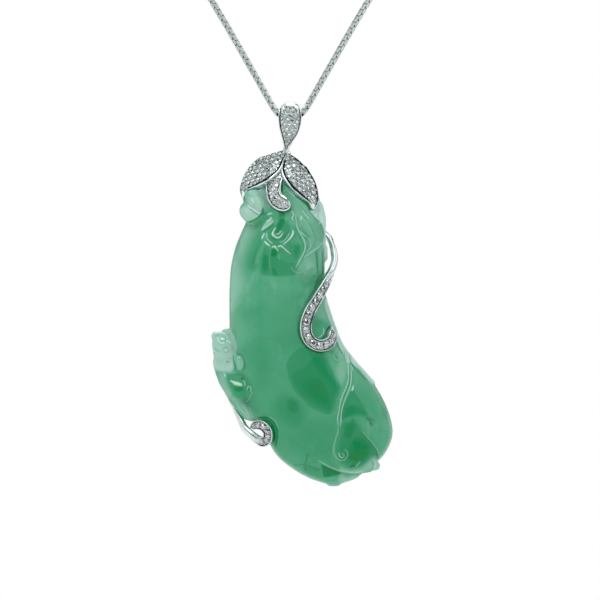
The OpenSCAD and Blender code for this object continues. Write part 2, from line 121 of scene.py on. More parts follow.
class Curve:
    """Rows of numbers read as one smooth curve that passes through each."""

    def __init__(self, rows: Sequence[Row]) -> None:
        """Keeps the rows.

        Args:
            rows: Rows of equal length.
        """
        self.rows = np.asarray(rows, float)

    def at(self, places: Iterable[float]) -> np.ndarray:
        """Reads the curve.

        Args:
            places: Places along it, counted in rows.

        Returns:
            One row for each place.
        """
        rows, last = self.rows, len(self.rows) - 1
        t = np.clip(np.asarray(list(places), float), 0, last)
        i = np.minimum(last - 1, np.floor(t)).astype(int)
        f = (t - i)[:, None]
        a, b = rows[np.maximum(0, i - 1)], rows[i]
        d, e = rows[i + 1], rows[np.minimum(last, i + 2)]
        bend = a - 2.5 * b + 2 * d - e / 2
        twist = 1.5 * (b - d) + (e - a) / 2
        return b + f * (d - a) / 2 + f**2 * bend + f**3 * twist

    def samples(self, count: int) -> np.ndarray:
        """Rows at even steps.

        Args:
            count: How many steps.

        Returns:
            count + 1 rows.
        """
        return self.at(np.linspace(0, len(self.rows) - 1, count + 1))


# Mesh tools


def loft(bm: BMesh, rings: Sequence[Sequence[Vector]], sunk: Sequence[Row] = ()) -> None:
    """Draws a closed skin by growing a first ring of edges from each ring to the next.

    Args:
        bm: The mesh that it is added to.
        rings: Rings of equal length, in order.
        sunk: For each point of each ring, how much painted shade it takes in a bed, from 0 to 1.
    """
    layers = bm.verts.layers.float
    layer = (layers.get(BED_MASK) or layers.new(BED_MASK)) if sunk else None
    ring = [bm.verts.new(p) for p in rings[0]]
    size = len(ring)
    kept = [ring]
    edges = [bm.edges.new((ring[i - 1], ring[i])) for i in range(size)]
    bmesh.ops.contextual_create(bm, geom=edges)
    for points in rings[1:]:
        grown = bmesh.ops.extrude_edge_only(bm, edges=edges)["geom"]
        fresh = {g for g in grown if isinstance(g, BMVert)}
        ring = [next(e.other_vert(v) for e in v.link_edges if e.other_vert(v) in fresh) for v in ring]
        for vert, point in zip(ring, points):
            vert.co = point
        kept.append(ring)
        edges = [bm.edges.get((ring[i - 1], ring[i])) for i in range(size)]
    bmesh.ops.contextual_create(bm, geom=edges)
    for ring, values in zip(kept, sunk):
        for vert, value in zip(ring, values):
            vert[layer] = value


def circle(middle: Vector, side: Vector, top: Vector, radius: float, sides: int) -> list[Vector]:
    """Points round a middle, in the plane of two directions."""
    turns = (2 * math.pi * k / sides for k in range(sides))
    return [middle + (math.cos(a) * side + math.sin(a) * top) * radius for a in turns]


def round_tube(bm: BMesh, path: Sequence[Vector], radii: Sequence[float], sides: int) -> None:
    """Draws a round tube through points, with its ends closed.

    Args:
        bm: The mesh that it is added to.
        path: The tube's middle.
        radii: One radius for each point.
        sides: How many sides it has.
    """
    rings = []
    for i, (point, radius) in enumerate(zip(path, radii)):
        heading = (path[min(len(path) - 1, i + 1)] - path[max(0, i - 1)]).normalized()
        side = heading.cross(OFF_AXIS).normalized()
        rings.append(circle(point, side, side.cross(heading), radius, sides))
    loft(bm, rings)


def pill(bm: BMesh, start: Vector, end: Vector, r_start: float, r_end: float) -> None:
    """Draws a rounded lump from one place to another.

    Args:
        bm: The mesh that it is added to.
        start: Middle of the first round end.
        end: Middle of the other.
        r_start: Radius of the first.
        r_end: Radius of the other.
    """
    way = end - start
    line = way.normalized() if way.length > 1e-6 else Vector((0, 0, 1))
    # each round end is seven rings, from near its tip to its full width
    turns = [math.radians(a) for a in range(-84, 1, 14)]
    path = [start + line * r_start * math.sin(a) for a in turns]
    radii = [r_start * math.cos(a) for a in turns]
    path += [end - line * r_end * math.sin(a) for a in reversed(turns)]
    radii += [r_end * math.cos(a) for a in reversed(turns)]
    side = line.orthogonal().normalized()
    top = line.cross(side)
    loft(bm, [circle(point, side, top, radius, LUMP_SIDES) for point, radius in zip(path, radii)])


def stamp(bm: BMesh, template: bpy.types.Mesh, places: Iterable[Matrix]) -> None:
    """Adds a copy of a template at each place.

    Args:
        bm: The mesh that the copies are added to.
        template: The shape.
        places: One matrix for each copy.
    """
    for matrix in places:
        copy = template.copy()
        copy.transform(matrix)
        bm.from_mesh(copy)
        bpy.data.meshes.remove(copy)


def bevel(bm: BMesh, edges: Sequence[BMEdge], offset: float) -> None:
    """Softens edges with one flat step."""
    bmesh.ops.bevel(bm, geom=edges, offset=offset, segments=1, profile=0.5, affect="EDGES", material=-1)


def keep(bm: BMesh, mesh: bpy.types.Mesh) -> bpy.types.Mesh:
    """Writes a drawing into a mesh and frees it."""
    bm.to_mesh(mesh)
    bm.free()
    return mesh


def closed_mesh(bm: BMesh, name: str) -> bpy.types.Mesh:
    """Makes a mesh of closed shells, with every face outwards."""
    bmesh.ops.recalc_face_normals(bm, faces=bm.faces)
    return keep(bm, bpy.data.meshes.new(name))


def turn_to(x: Vector, y: Vector, z: Vector) -> Matrix:
    """The turn that takes the axes to three directions."""
    return Matrix((x, y, z)).transposed().to_4x4()


def new_object(name: str, data: bpy.types.ID) -> bpy.types.Object:
    """Adds an object to the scene."""
    made = bpy.data.objects.new(name, data)
    bpy.context.scene.collection.objects.link(made)
    return made


def hand_over(
    mesh: bpy.types.Mesh,
    name: str,
    body: Body,
    slot: Slot,
    finish: bpy.types.Material,
    smooth_to: float,
) -> bpy.types.Object:
    """Makes a finished mesh one piece of the model.

    Args:
        mesh: The mesh, in millimetres round the bail.
        name: The piece's name.
        body: The body that it rides on.
        slot: The slot for its finish; not used.
        finish: Its material.
        smooth_to: Edges sharper than this many degrees stay crisp.

    Returns:
        The new object.
    """
    mesh.name = name
    mesh.transform(TO_ROW)
    mesh.materials.clear()
    mesh.materials.append(finish)
    mesh.polygons.foreach_set("use_smooth", [smooth_to > 0] * len(mesh.polygons))
    if 0 < smooth_to < 180:
        mesh.set_sharp_from_angle(angle=math.radians(smooth_to))
    piece = new_object(name, mesh)
    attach(piece, body.value)
    LOG.info("%s: %d faces on %s", name, len(mesh.polygons), body.value)
    return piece


def from_bmesh(bm: BMesh, *facts: object) -> bpy.types.Object:
    """Makes a piece of a bmesh of closed shells.

    Args:
        bm: The mesh, which is freed.
        facts: What hand_over takes after the mesh.

    Returns:
        The new object.
    """
    return hand_over(closed_mesh(bm, "piece"), *facts)


# Shader tools


def paint(red: int, green: int, blue: int) -> Colour:
    """A colour as it looks on a screen, from 0 to 255, made linear."""
    tone = [c / 255 for c in (red, green, blue)]
    return (*(c / 12.92 if c < 0.04045 else ((c + 0.055) / 1.055) ** 2.4 for c in tone), 1.0)


class Wire:
    """A shader socket that sums and products can be written on."""

    def __init__(self, bench: "Bench", socket: bpy.types.NodeSocket) -> None:
        """Keeps the socket and the bench that adds nodes after it."""
        self.bench, self.socket = bench, socket

    def _math(self, kind: str, *terms: Term) -> "Wire":
        """Adds one Math node."""
        return self.bench.add("ShaderNodeMath", {"operation": kind}, dict(enumerate(terms)))

    def __add__(self, other: Term) -> "Wire":
        """This plus another."""
        return self._math("ADD", self, other)

    def __radd__(self, other: float) -> "Wire":
        """A number plus this."""
        return self._math("ADD", other, self)

    def __sub__(self, other: Term) -> "Wire":
        """This less another."""
        return self._math("SUBTRACT", self, other)

    def __rsub__(self, other: float) -> "Wire":
        """A number less this."""
        return self._math("SUBTRACT", other, self)

    def __mul__(self, other: Term) -> "Wire":
        """This times another."""
        return self._math("MULTIPLY", self, other)

    def __rmul__(self, other: float) -> "Wire":
        """A number times this."""
        return self._math("MULTIPLY", other, self)

    def step(self, low: float, high: float) -> "Wire":
        """Rises smoothly from 0 at low to 1 at high.

        Args:
            low: Where it is still 0.
            high: Where it is 1.

        Returns:
            The risen value.
        """
        ends = {"Value": self, "From Min": low, "From Max": high}
        return self.bench.add("ShaderNodeMapRange", {"interpolation_type": "SMOOTHSTEP"}, ends)


class Bench:
    """Adds nodes to one node tree."""

    def __init__(self, tree: bpy.types.NodeTree) -> None:
        """Clears the tree and keeps it."""
        self.tree = tree
        tree.nodes.clear()

    def node(self, kind: str, settings: Facts, inputs: Facts) -> bpy.types.Node:
        """Adds any node.

        Args:
            kind: The node's type.
            settings: Its properties, set first.
            inputs: Values or wires for its sockets, by name or number.

        Returns:
            The node.
        """
        made = self.tree.nodes.new(kind)
        for name, value in settings.items():
            setattr(made, name, value)
        for key, value in inputs.items():
            if isinstance(value, Wire):
                self.tree.links.new(value.socket, made.inputs[key])
            else:
                made.inputs[key].default_value = value
        return made

    def add(self, kind: str, settings: Facts, inputs: Facts, out: int | str = 0) -> Wire:
        """Adds any node and gives one of its outputs.

        Args:
            kind: The node's type.
            settings: Its properties.
            inputs: Values or wires for its sockets.
            out: The output's name or number.

        Returns:
            The output as a wire.
        """
        return Wire(self, self.node(kind, settings, inputs).outputs[out])

    def blend(self, share: Term, first: object, second: object) -> Wire:
        """Mixes two colours by a share of the second."""
        return self.add("ShaderNodeMix", {"data_type": "RGBA"}, {0: share, 6: first, 7: second}, out=2)

    def surface(self, inputs: Facts) -> Wire:
        """The shader of a solid surface."""
        return self.add("ShaderNodeBsdfPrincipled", {}, inputs)

    def spot(self) -> Wire:
        """Places on the piece, in metres."""
        return self.add("ShaderNodeTexCoord", {}, {}, out="Object")

    def noise(self, scale: float, detail: float, rough: float = 0.5, stretch: Row = (1, 1, 1)) -> Wire:
        """Cloudy noise from 0 to 1 over a piece.

        Args:
            scale: Clouds in a metre.
            detail: How many finer layers.
            rough: How strong they are.
            stretch: Scale along each axis.

        Returns:
            The noise.
        """
        where = self.add("ShaderNodeMapping", {}, {"Vector": self.spot(), "Scale": stretch})
        inputs = {"Vector": where, "Scale": scale, "Detail": detail, "Roughness": rough}
        return self.add("ShaderNodeTexNoise", {}, inputs)

    def mask(self, name: str) -> Wire:
        """Reads a painted mask of the mesh."""
        return self.add("ShaderNodeAttribute", {"attribute_name": name}, {}, out="Fac")

    def bump(self, height: Wire, strength: float, distance: float) -> Wire:
        """A bumped normal."""
        inputs = {"Height": height, "Strength": strength, "Distance": distance}
        return self.add("ShaderNodeBump", {}, inputs)


def new_finish(name: str) -> tuple[bpy.types.Material, Bench]:
    """Starts a material.

    Args:
        name: Its name.

    Returns:
        The material and the bench for its nodes.
    """
    material = bpy.data.materials.new(name)
    material.use_nodes = True
    return material, Bench(material.node_tree)


def close_finish(bench: Bench, shader: Wire) -> None:
    """Joins a shader to the material's output."""
    bench.node("ShaderNodeOutputMaterial", {}, {"Surface": shader})


@dataclass(frozen=True)
class JadeFinish:
    """Polished jade: cloudy green with olive patches; its deep green also serves as painted shade and
    painted dark reflection, and its pale as painted glow at thin edges and painted highlight.
    """

    body: Colour = paint(64, 158, 116)
    # deep green: the jade's own deep tone, also painted shade in grooves and hollows and painted dark
    # reflection
    deep: Colour = paint(2, 134, 78)
    cloud: Colour = paint(92, 176, 140)
    # pale: the jade's own pale tone, also a painted glow at thin edges and a painted highlight on ridges
    pale: Colour = paint(196, 222, 216)
    # a painted highlight on the carved ridges
    gleam: Colour = paint(222, 246, 238)
    olive: Colour = paint(34, 116, 44)
    vein: Colour = paint(24, 66, 44)
    roughness: float = 0.07
    shine: float = 0.22
    ior: float = 1.45
    glow: float = 0.6
    glow_reach: tuple[float, float, float] = (0.35, 1.0, 0.7)
    glow_depth: float = 0.0016

    def make(self) -> bpy.types.Material:
        """Builds the material."""
        material, bench = new_finish("polished_jade")
        # clouds in a metre, finer layers and their strength, then where they begin and where they are full
        broad = bench.noise(90, 3, 0.55).step(0.36, 0.66)
        fine = bench.noise(420, 4, 0.6).step(0.42, 0.7)
        threads = bench.noise(260, 5, 0.7, (1.6, 1, 0.5)).step(0.56, 0.72)
        colour = bench.blend(broad * 0.55, self.body, self.cloud)
        colour = bench.blend(fine * 0.22, colour, self.deep)
        # a painted mask, how strong it is between the clouds, the clouds and the mask's colour
        # deep adds painted shade and painted dark reflection as well as deep green; pale adds painted glow
        # and painted highlight as well as pale jade
        masks = (
            ("deep", 0.88, broad, self.deep),
            ("olive", 0.3, fine, self.olive),
            ("pale", 0.78, fine, self.pale),
        )
        for name, least, clouds, tone in masks:
            colour = bench.blend(bench.mask(name) * (least + (1 - least) * clouds), colour, tone)
        colour = bench.blend(threads * (1 - bench.mask("deep")) * 0.1, colour, self.pale)
        # the veins' own dark colour, then the painted highlights of the carved ridges
        for name, tone in (("vein", self.vein), ("gleam", self.gleam)):
            colour = bench.blend(bench.mask(name), colour, tone)
        polish = bench.noise(2600, 2).step(0.3, 0.7)
        shader = bench.surface({
            "Base Color": colour,
            "Roughness": self.roughness + 0.07 * polish,
            "IOR": self.ior,
            "Subsurface Weight": self.glow,
            "Subsurface Radius": self.glow_reach,
            "Subsurface Scale": self.glow_depth,
            "Specular IOR Level": self.shine,
            "Normal": bench.bump(bench.noise(900, 2), 0.06, 0.0001),
        })
        close_finish(bench, shader)
        return material


@dataclass(frozen=True)
class MetalFinish:
    """Polished white metal, with faint swirls from polishing and painted shade in the beds: near black in
    the grooves inside the rims, greyer on the floor under the stones.
    """

    name: str
    tone: Colour
    roughness: float
    # painted shade: the dark colour the beds take, standing in for their shadow and the dark reflection in
    # their walls
    bed: Colour = paint(22, 28, 28)
    grain: float = 1800
    wear: float = 0.8
    worn_roughness: float = 0.1
    bed_roughness: float = 0.25

    def make(self) -> bpy.types.Material:
        """Builds the material."""
        material, bench = new_finish(self.name)
        swirl = bench.noise(self.grain, 3, 0.6)
        worn = bench.noise(self.grain / 4, 2).step(0.35, 0.75)
        dull = tuple(c * self.wear for c in self.tone[:3]) + (1.0,)
        # how much painted shade each place takes, from the mask that the bands paint
        deep = bench.mask(BED_MASK)
        shader = bench.surface({
            "Base Color": bench.blend(deep, bench.blend(worn * 0.5, self.tone, dull), self.bed),
            "Metallic": 1.0,
            "Roughness": self.roughness + self.worn_roughness * worn + self.bed_roughness * deep,
            "Normal": bench.bump(swirl, 0.08, 0.00003),
        })
        close_finish(bench, shader)
        return material


@dataclass(frozen=True)
class StoneFinish:
    """Clear cut stones over bright metal: a painted sparkle, random spots of painted light and shade,
    stands in for facets that flash white or go dark.
    """

    tone: Colour = paint(246, 252, 251)
    shade: Colour = paint(156, 170, 168)
    ior: float = 2.2

    def make(self) -> bpy.types.Material:
        """Builds the material."""
        material, bench = new_finish("cut_stone")
        # painted sparkle: random spots where the stones are painted towards their shade colour, as facets
        # that go dark
        sparkle = bench.noise(5200, 1).step(0.42, 0.58)
        clear = bench.surface({
            "Base Color": bench.blend(sparkle * 0.4, self.tone, self.shade),
            "Roughness": 0.02 + 0.02 * sparkle,
            "IOR": self.ior,
            "Transmission Weight": 1.0,
        })
        glint = bench.surface({
            "Base Color": bench.blend(sparkle, self.tone, self.shade),
            "Metallic": 1.0,
            "Roughness": 0.04 + 0.03 * sparkle,
        })
        mixed = bench.add("ShaderNodeMixShader", {}, {0: 0.5 + 0.3 * sparkle, 1: clear, 2: glint})
        close_finish(bench, mixed)
        return material


@dataclass(frozen=True)
class StageFinish:
    """A matt pale floor."""

    tone: Colour = paint(246, 246, 246)
    grain: Colour = paint(232, 232, 232)

    def make(self) -> bpy.types.Material:
        """Builds the material."""
        material, bench = new_finish("pale_floor")
        shade = bench.blend(bench.noise(40, 2) * 0.05, self.tone, self.grain)
        close_finish(bench, bench.surface({"Base Color": shade, "Roughness": 0.8}))
        return material


# Bands of metal


@dataclass(frozen=True)
class Station:
    """One place along a band: its underside's middle, facing, half width, sag, bed and rim share."""

    middle: Vector
    facing: Vector
    half: float
    sag: float
    share: float
    rim: float = 1.0


@dataclass(frozen=True)
class Seat:
    """Where a stone sits, the way that it faces and its size."""

    middle: Vector
    facing: Vector
    size: float


@dataclass
class Band:
    """A band of metal that follows stations, with rims and a sunk bed where stones are set.

    The rims and the grooves inside them are the widths of those at the far side and of those that
    the side direction points to. The crown is how much lower the band's top is along its edges, and
    the arch is how much sooner the bed ends there. The grooves inside the rims are painted with
    shade, near black, and the bed's floor greyer.
    """

    stations: list[Station]
    rims: Point = (0.22, 0.22)
    grooves: Point = (0.12, 0.12)
    crown: float = 0.0
    arch: float = 0.0
    thick: float = 1.0
    bed: float = 0.45
    floor_drop: float = 0.3
    floor_shade: float = 0.22
    rim_limit = 0.45
    groove_limit = 0.3
    # How near a place is to a station that it counts for: along the band and in all
    near_along, near_all = 0.25, 4.0

    def frame_at(self, i: int) -> tuple[Vector, Vector, Vector]:
        """The band's heading, side and facing at a station."""
        near = self.stations[min(len(self.stations) - 1, i + 1)].middle
        heading = (near - self.stations[max(0, i - 1)].middle).normalized()
        side = heading.cross(self.stations[i].facing).normalized()
        return heading, side, side.cross(heading)

    def point(self, i: int, v: float, n: float) -> Vector:
        """A place on the band.

        Args:
            i: The station.
            v: How far to the side.
            n: How far above the underside.

        Returns:
            The point.
        """
        station, (_, side, out) = self.stations[i], self.frame_at(i)
        return station.middle + side * v + out * (n - station.sag * (v / station.half) ** 2)

    def section(self, station: Station) -> list[Row]:
        """The band's outline at a station.

        Args:
            station: The station.

        Returns:
            For each point, its place to the side, above the underside, and how much painted shade it takes.
        """
        far, near = (self.half_section(station, *widths) for widths in self.borders(station))
        middle = [(0.0, near[-1][1], near[-1][2])]
        mirrored = [(-v, n, deep) for v, n, deep in reversed(far[:-1])]
        return [(0.0, 0.0, 0.0), *near[:-1], *middle, *mirrored]

    def share_at(self, station: Station, v: float) -> float:
        """How far a station's bed is sunk at a place to the side, from 0 to 1."""
        return clamp(station.share - self.arch * (v / station.half) ** 2)

    def covers(self, place: Vector, margin: float) -> bool:
        """Whether a place lies over the band, or nearer to its side than a margin."""
        for i, station in enumerate(self.stations):
            away, (heading, side, _) = place - station.middle, self.frame_at(i)
            near = abs(away.dot(heading)) < self.near_along and away.length < self.near_all
            if near and abs(away.dot(side)) < station.half + margin:
                return True
        return False

    def borders(self, station: Station) -> list[Point]:
        """The widths of the rim and of the groove inside it, at the far side and at the near side."""
        made = []
        for rim, groove in zip(self.rims, self.grooves):
            wide = min(rim * station.rim, self.rim_limit * station.half)
            made.append((wide, min(groove, self.groove_limit * (station.half - wide))))
        return made

    def half_section(self, station: Station, r: float, groove: float) -> list[Row]:
        """One side of the outline, from the underside round the edge to the bed's middle.

        Args:
            station: The station.
            r: Width of its rim.
            groove: Width of the groove inside the rim.

        Returns:
            For each point, its place to the side, above the underside, and how much painted shade it takes.
        """
        w, t = station.half, self.thick
        floor_n = t - self.floor_drop
        inside = w - r - groove
        # each point: to the side, above the underside, how much painted shade it takes
        foot_line = [(0.42 * w, 0.0, 0), (0.8 * w, 0.04 * t, 0), (w, 0.16 * t, 0), (w, 0.82 * t, 0)]
        rim_line = [
            (w - 0.1 * r, 0.95 * t, 0), (w - 0.3 * r, t, 0), (w - 0.82 * r, 0.99 * t, 0),
            (w - r, 0.92 * t, 0.2), (w - r - 0.01, floor_n + 0.02, 1),
        ]
        bed_line = [(inside, floor_n, 1)]
        bed_line += [(share * inside, floor_n, self.floor_shade) for share in (0.94, 0.4, 0.0)]
        shaped = []
        for v, n, deep in foot_line + rim_line + bed_line:
            share = self.share_at(station, v)
            plain = t * (1.04 - 0.34 * abs(v / w) ** 3) if n > 0.5 * t else n
            height = n * share + plain * (1 - share)
            fall = self.crown * (v / w) ** 2 if n > 0.5 * t else 0.0
            shaped.append((v, height - fall, deep * share))
        return shaped

    def draw(self, bm: BMesh) -> None:
        """Adds the band to a mesh."""
        sections = [self.section(station) for station in self.stations]
        rings = [[self.point(i, v, n) for v, n, _ in section] for i, section in enumerate(sections)]
        loft(bm, rings, [[deep for _, _, deep in section] for section in sections])

    def run(self) -> np.ndarray:
        """Distance along the band at each station."""
        middles = np.array([s.middle for s in self.stations])
        steps = np.linalg.norm(np.diff(middles, axis=0), axis=1)
        return np.concatenate([[0], np.cumsum(steps)])


@dataclass
class StoneField:
    """The stones of one band, set in rows across it or in one row along it."""

    band: Band
    size: float
    gap: float = 0.11
    lift: float = 0.05
    wall: float = 0.02
    pavilion: float = 0.42
    above: Sequence[Band] = ()
    full_bed = 0.93
    row_step, row_spacing, row_slack = 0.88, 0.85, 0.1
    # Steps of the search over the bed and the least space between small stones
    stone_step, grain_step, least_space = 0.09, 0.06, 0.04
    # Shares of a grain's radius: between grains' middles, and from a stone's edge to a grain's middle
    grain_spacing, grain_edge = 2.3, 0.2
    grain_rise, grain_root = 0.62, 0.04

    def hidden(self, seat: Seat) -> bool:
        """Whether another band lies over a seat."""
        return any(band.covers(seat.middle, seat.size / 2) for band in self.above)

    def seat(self, i: int, v: float, size: float) -> Seat:
        """Seats a stone at a station, with its girdle level with the others.

        Args:
            i: The station.
            v: How far to the side.
            size: The stone's diameter.

        Returns:
            The seat.
        """
        station, (_, side, out) = self.band.stations[i], self.band.frame_at(i)
        facing = (out + side * (2 * station.sag * v / station.half**2)).normalized()
        rise = self.band.thick - self.band.bed + self.pavilion * self.size + self.lift
        rise -= self.band.crown * (v / station.half) ** 2
        return Seat(self.band.point(i, v, 0) + facing * rise, facing, size)

    def room(self, station: Station, size: float) -> Point:
        """Where the middles of stones of a size may lie at a station, from one side to the other.

        Args:
            station: The station.
            size: The stones' diameter.

        Returns:
            The lowest and the highest place to the side.
        """
        borders = self.band.borders(station)
        far, near = (station.half - sum(widths) - size / 2 - self.wall for widths in borders)
        return -far, near

    def holds(self, station: Station, size: float) -> bool:
        """Whether a stone of a size fits at a station."""
        low, high = self.room(station, size)
        return self.sunk(station, 0) and high - low > -self.row_slack

    def sunk(self, station: Station, v: float) -> bool:
        """Whether the bed is full at a place."""
        return self.band.share_at(station, v) > self.full_bed

    def bare(self, size: float, step: float) -> Iterator[tuple[int, float]]:
        """Searches the bed for room.

        Args:
            size: Diameter of what is to be set.
            step: How close the places are that are tried.

        Yields:
            A station and a place to the side.
        """
        for i, station in enumerate(self.band.stations):
            low, high = self.room(station, size)
            if high < low:
                continue
            for v in np.linspace(low, high, max(2, round((high - low) / step))):
                if self.sunk(station, float(v)):
                    yield i, float(v)

    def spaced(self, seats: Iterable[Seat]) -> list[Seat]:
        """Leaves out each stone that would come too near one before it."""
        kept: list[Seat] = []
        sought = list(seats)
        for i, seat in enumerate(sought):
            near = self.size + self.row_spacing * self.gap
            if all((seat.middle - other.middle).length >= near for other in sought[:i]):
                kept.append(seat)
        return kept

    def rows_across(self) -> list[Seat]:
        """Staggered rows, each of as many stones as fit."""
        pitch, run = self.size + self.gap, self.band.run()
        step = self.row_step * pitch
        seats = []
        for k in range(int(run[-1] / step) + 1):
            place = float(np.interp((k + 0.5) * step, run, np.arange(len(run))))
            i = min(len(run) - 1, math.floor(place + 0.5))
            station = self.band.stations[i]
            if not self.holds(station, self.size):
                continue
            low, high = self.room(station, self.size)
            fit = math.floor(max(0.0, high - low) / pitch) + 1
            count = fit if (fit + k) % 2 == 0 else fit - 1
            start = (low + high - (count - 1) * pitch) / 2
            rows = (start + j * pitch for j in range(count))
            seats += [self.seat(i, v, self.size) for v in rows if self.sunk(station, v)]
        return self.spaced(seat for seat in seats if not self.hidden(seat))

    def row_along(self) -> list[Seat]:
        """One row along the band's middle."""
        seats: list[Seat] = []
        for i, station in enumerate(self.band.stations):
            seat = self.seat(i, sum(self.room(station, self.size)) / 2, self.size)
            clear = not seats or (seat.middle - seats[-1].middle).length >= self.size + self.gap
            if self.holds(station, self.size) and clear:
                seats.append(seat)
        return self.spaced(seats)

    def filled(self, seats: Sequence[Seat], sizes: Sequence[float]) -> list[Seat]:
        """Adds smaller stones wherever the bed is still bare.

        Args:
            seats: The stones that are set already.
            sizes: Diameters of the smaller ones, in the order in which they are tried.

        Returns:
            All the stones.
        """
        kept = list(seats)
        for size in sizes:
            for i, v in self.bare(size, self.stone_step):
                seat = self.seat(i, v, size)
                near = np.array([(k.middle - seat.middle).length - (k.size + size) / 2 for k in kept])
                if near.min(initial=1) >= self.least_space and not self.hidden(seat):
                    kept.append(seat)
        return kept

    def beads(self, seats: Sequence[Seat], radius: float) -> Iterator[Matrix]:
        """Places for the raised grains that hold the stones, in the spaces that these leave.

        Args:
            seats: The stones.
            radius: The grains' radius.

        Yields:
            One matrix for each grain.
        """
        girdle = self.band.thick - self.band.bed + self.pavilion * self.size + self.lift
        base = self.band.thick - self.band.floor_drop - self.grain_root
        spots: list[Vector] = []
        for i, v in self.bare(2 * radius, self.grain_step):
            fall = self.band.crown * (v / self.band.stations[i].half) ** 2
            spot = self.band.point(i, v, girdle - fall)
            if any((spot - k).length < self.grain_spacing * radius for k in spots):
                continue
            if min((spot - s.middle).length - s.size / 2 for s in seats) < self.grain_edge * radius:
                continue
            if self.hidden(Seat(spot, spot, 2 * radius)):
                continue
            spots.append(spot)
            foot = self.band.point(i, v, base - fall)
            _, side, out = self.band.frame_at(i)
            size = Matrix.Diagonal((radius, radius, (spot - foot).length * self.grain_rise, 1))
            yield Matrix.Translation(foot.lerp(spot, 0.5)) @ turn_to(side, out.cross(side), out) @ size


def clamp(value: float) -> float:
    """Keeps a number between 0 and 1."""
    return max(0.0, min(1.0, value))


# Mount


@dataclass
class Scroll:
    """A scroll that clips round the jade: across, down, depth, width share, turn, bed share."""

    name: str
    rows: Sequence[Row]
    width: float
    count: int
    stone: float

    def stations(self, count: int) -> list[Station]:
        """Places along the scroll.

        Args:
            count: How many steps.

        Returns:
            The stations.
        """
        made = []
        for across, down, share, wide, degrees, bed in Curve(self.rows).samples(count):
            turn = math.radians(degrees)
            facing = Vector((math.sin(turn), -math.cos(turn), 0))
            half = self.width / 2 * wide
            made.append(Station(CHART.place(across, down, share), facing, half, 0, clamp(bed)))
        return made

    def band(self) -> Band:
        """The scroll's metal."""
        return Band(self.stations(self.count * 3))

    def field(self) -> StoneField:
        """The bed for its single row of stones."""
        return StoneField(Band(self.stations(self.count * 6)), self.stone)


@dataclass
class Leaves:
    """The dome that the leaves and the stem lie on, and their stations."""

    width: float = 13.3
    height: float = 10.0
    sag: float = 0.34
    thick: float = 1.0
    full_sag: float = 24.0
    flattest: float = 0.05
    # The dome's reach, as shares of the jade's width, bulge and height, and its space over the bulge
    reach: tuple[float, float, float] = (0.3, 0.78, 0.22)
    space: float = 0.1
    steps: Point = (78.0, 59.0)
    neck: Vector = field(default_factory=lambda: Vector((CHART.across(-4), 0, -5.6)))

    def __post_init__(self) -> None:
        """Works out the dome."""
        wide, deep, high = self.reach
        depth = CHART.fore * deep + self.space + self.thick
        self.dome = Vector((JADE_WIDTH * wide, depth, JADE_HEIGHT * high))
        self.middle = Vector((CHART.across(-9), CHART.set_back, CHART.below(47)))

    def stations(self, rows: Sequence[Row], count: int) -> list[Station]:
        """Places along a leaf.

        Args:
            rows: Across, down, width, depth below the dome, share of the bed and share of the rims.
            count: How many steps.

        Returns:
            The stations.
        """
        made = []
        for across, down, wide, below, bed, rims in Curve(rows).samples(count):
            x = self.neck.x + across * self.width / self.steps[0]
            z = self.neck.z - down * self.height / self.steps[1]
            dx, dz = (x - self.middle.x) / self.dome.x, (z - self.middle.z) / self.dome.z
            rise = math.sqrt(max(self.flattest, 1 - dx * dx - dz * dz))
            top = Vector((x, self.middle.y - self.dome.y * rise, z))
            away = top - self.middle
            out = Vector([away[k] / self.dome[k] ** 2 for k in range(3)]).normalized()
            foot = top - out * self.thick * (1 + below / 100)
            half = wide / 2 * self.width / self.steps[0]
            sag = self.sag * min(1, wide / self.full_sag)
            made.append(Station(foot, out, half, sag, clamp(bed), clamp(rims)))
        return made


@dataclass
class Bail:
    """The loop of strap round the chain."""

    width: float = 3.4
    length: float = 5.6
    chain: float = 1.25
    space: float = 0.85

    @property
    def radius(self) -> float:
        """From the chain's middle to the strap's."""
        return self.chain / 2 + self.space

    def stations(self, count: int) -> list[Station]:
        """Places along the loop, from the front of the neck over the chain to its back."""
        made = []
        for ahead, up, across, wide, degrees, bed in Curve(BAIL).samples(count):
            height = up * (self.radius if up > 0 else self.length)
            turn = math.radians(degrees)
            middle = Vector((CHART.across(across), -ahead * self.radius, height))
            facing = Vector((0, -math.cos(turn), math.sin(turn)))
            made.append(Station(middle, facing, self.width / 2 * wide, 0, bed))
        return made


# The scrolls: across, down, share of the bulge, share of the width, turn in degrees, share of the bed
VINE = [
    [26, 58, -66, 0.4, 160, 0], [34, 65, -58, 0.44, 118, 0], [38.5, 73, -38, 0.48, 80, 0],
    [41.5, 83, -12, 0.5, 58, 0], [42, 92, 12, 0.52, 48, 0], [39.5, 101, 34, 0.58, 42, 0],
    [35.5, 109, 50, 0.72, 36, 0.9], [30.5, 119, 63, 0.82, 30, 1], [24.5, 130, 77, 0.9, 24, 1],
    [18.5, 141, 87, 0.96, 18, 1], [15, 152.5, 92, 1, 14, 1], [15.5, 163.5, 93, 1, 14, 1],
    [20, 171.5, 91, 1, 18, 1], [27.5, 175, 84, 1, 24, 1], [35, 173.5, 74, 1, 32, 1],
    [38.8, 168.6, 62, 0.94, 38, 1], [40, 163, 54, 0.84, 42, 1], [39.6, 160.4, 44, 0.6, 46, 0.3],
    [37.6, 159.4, 20, 0.34, 54, 0],
]
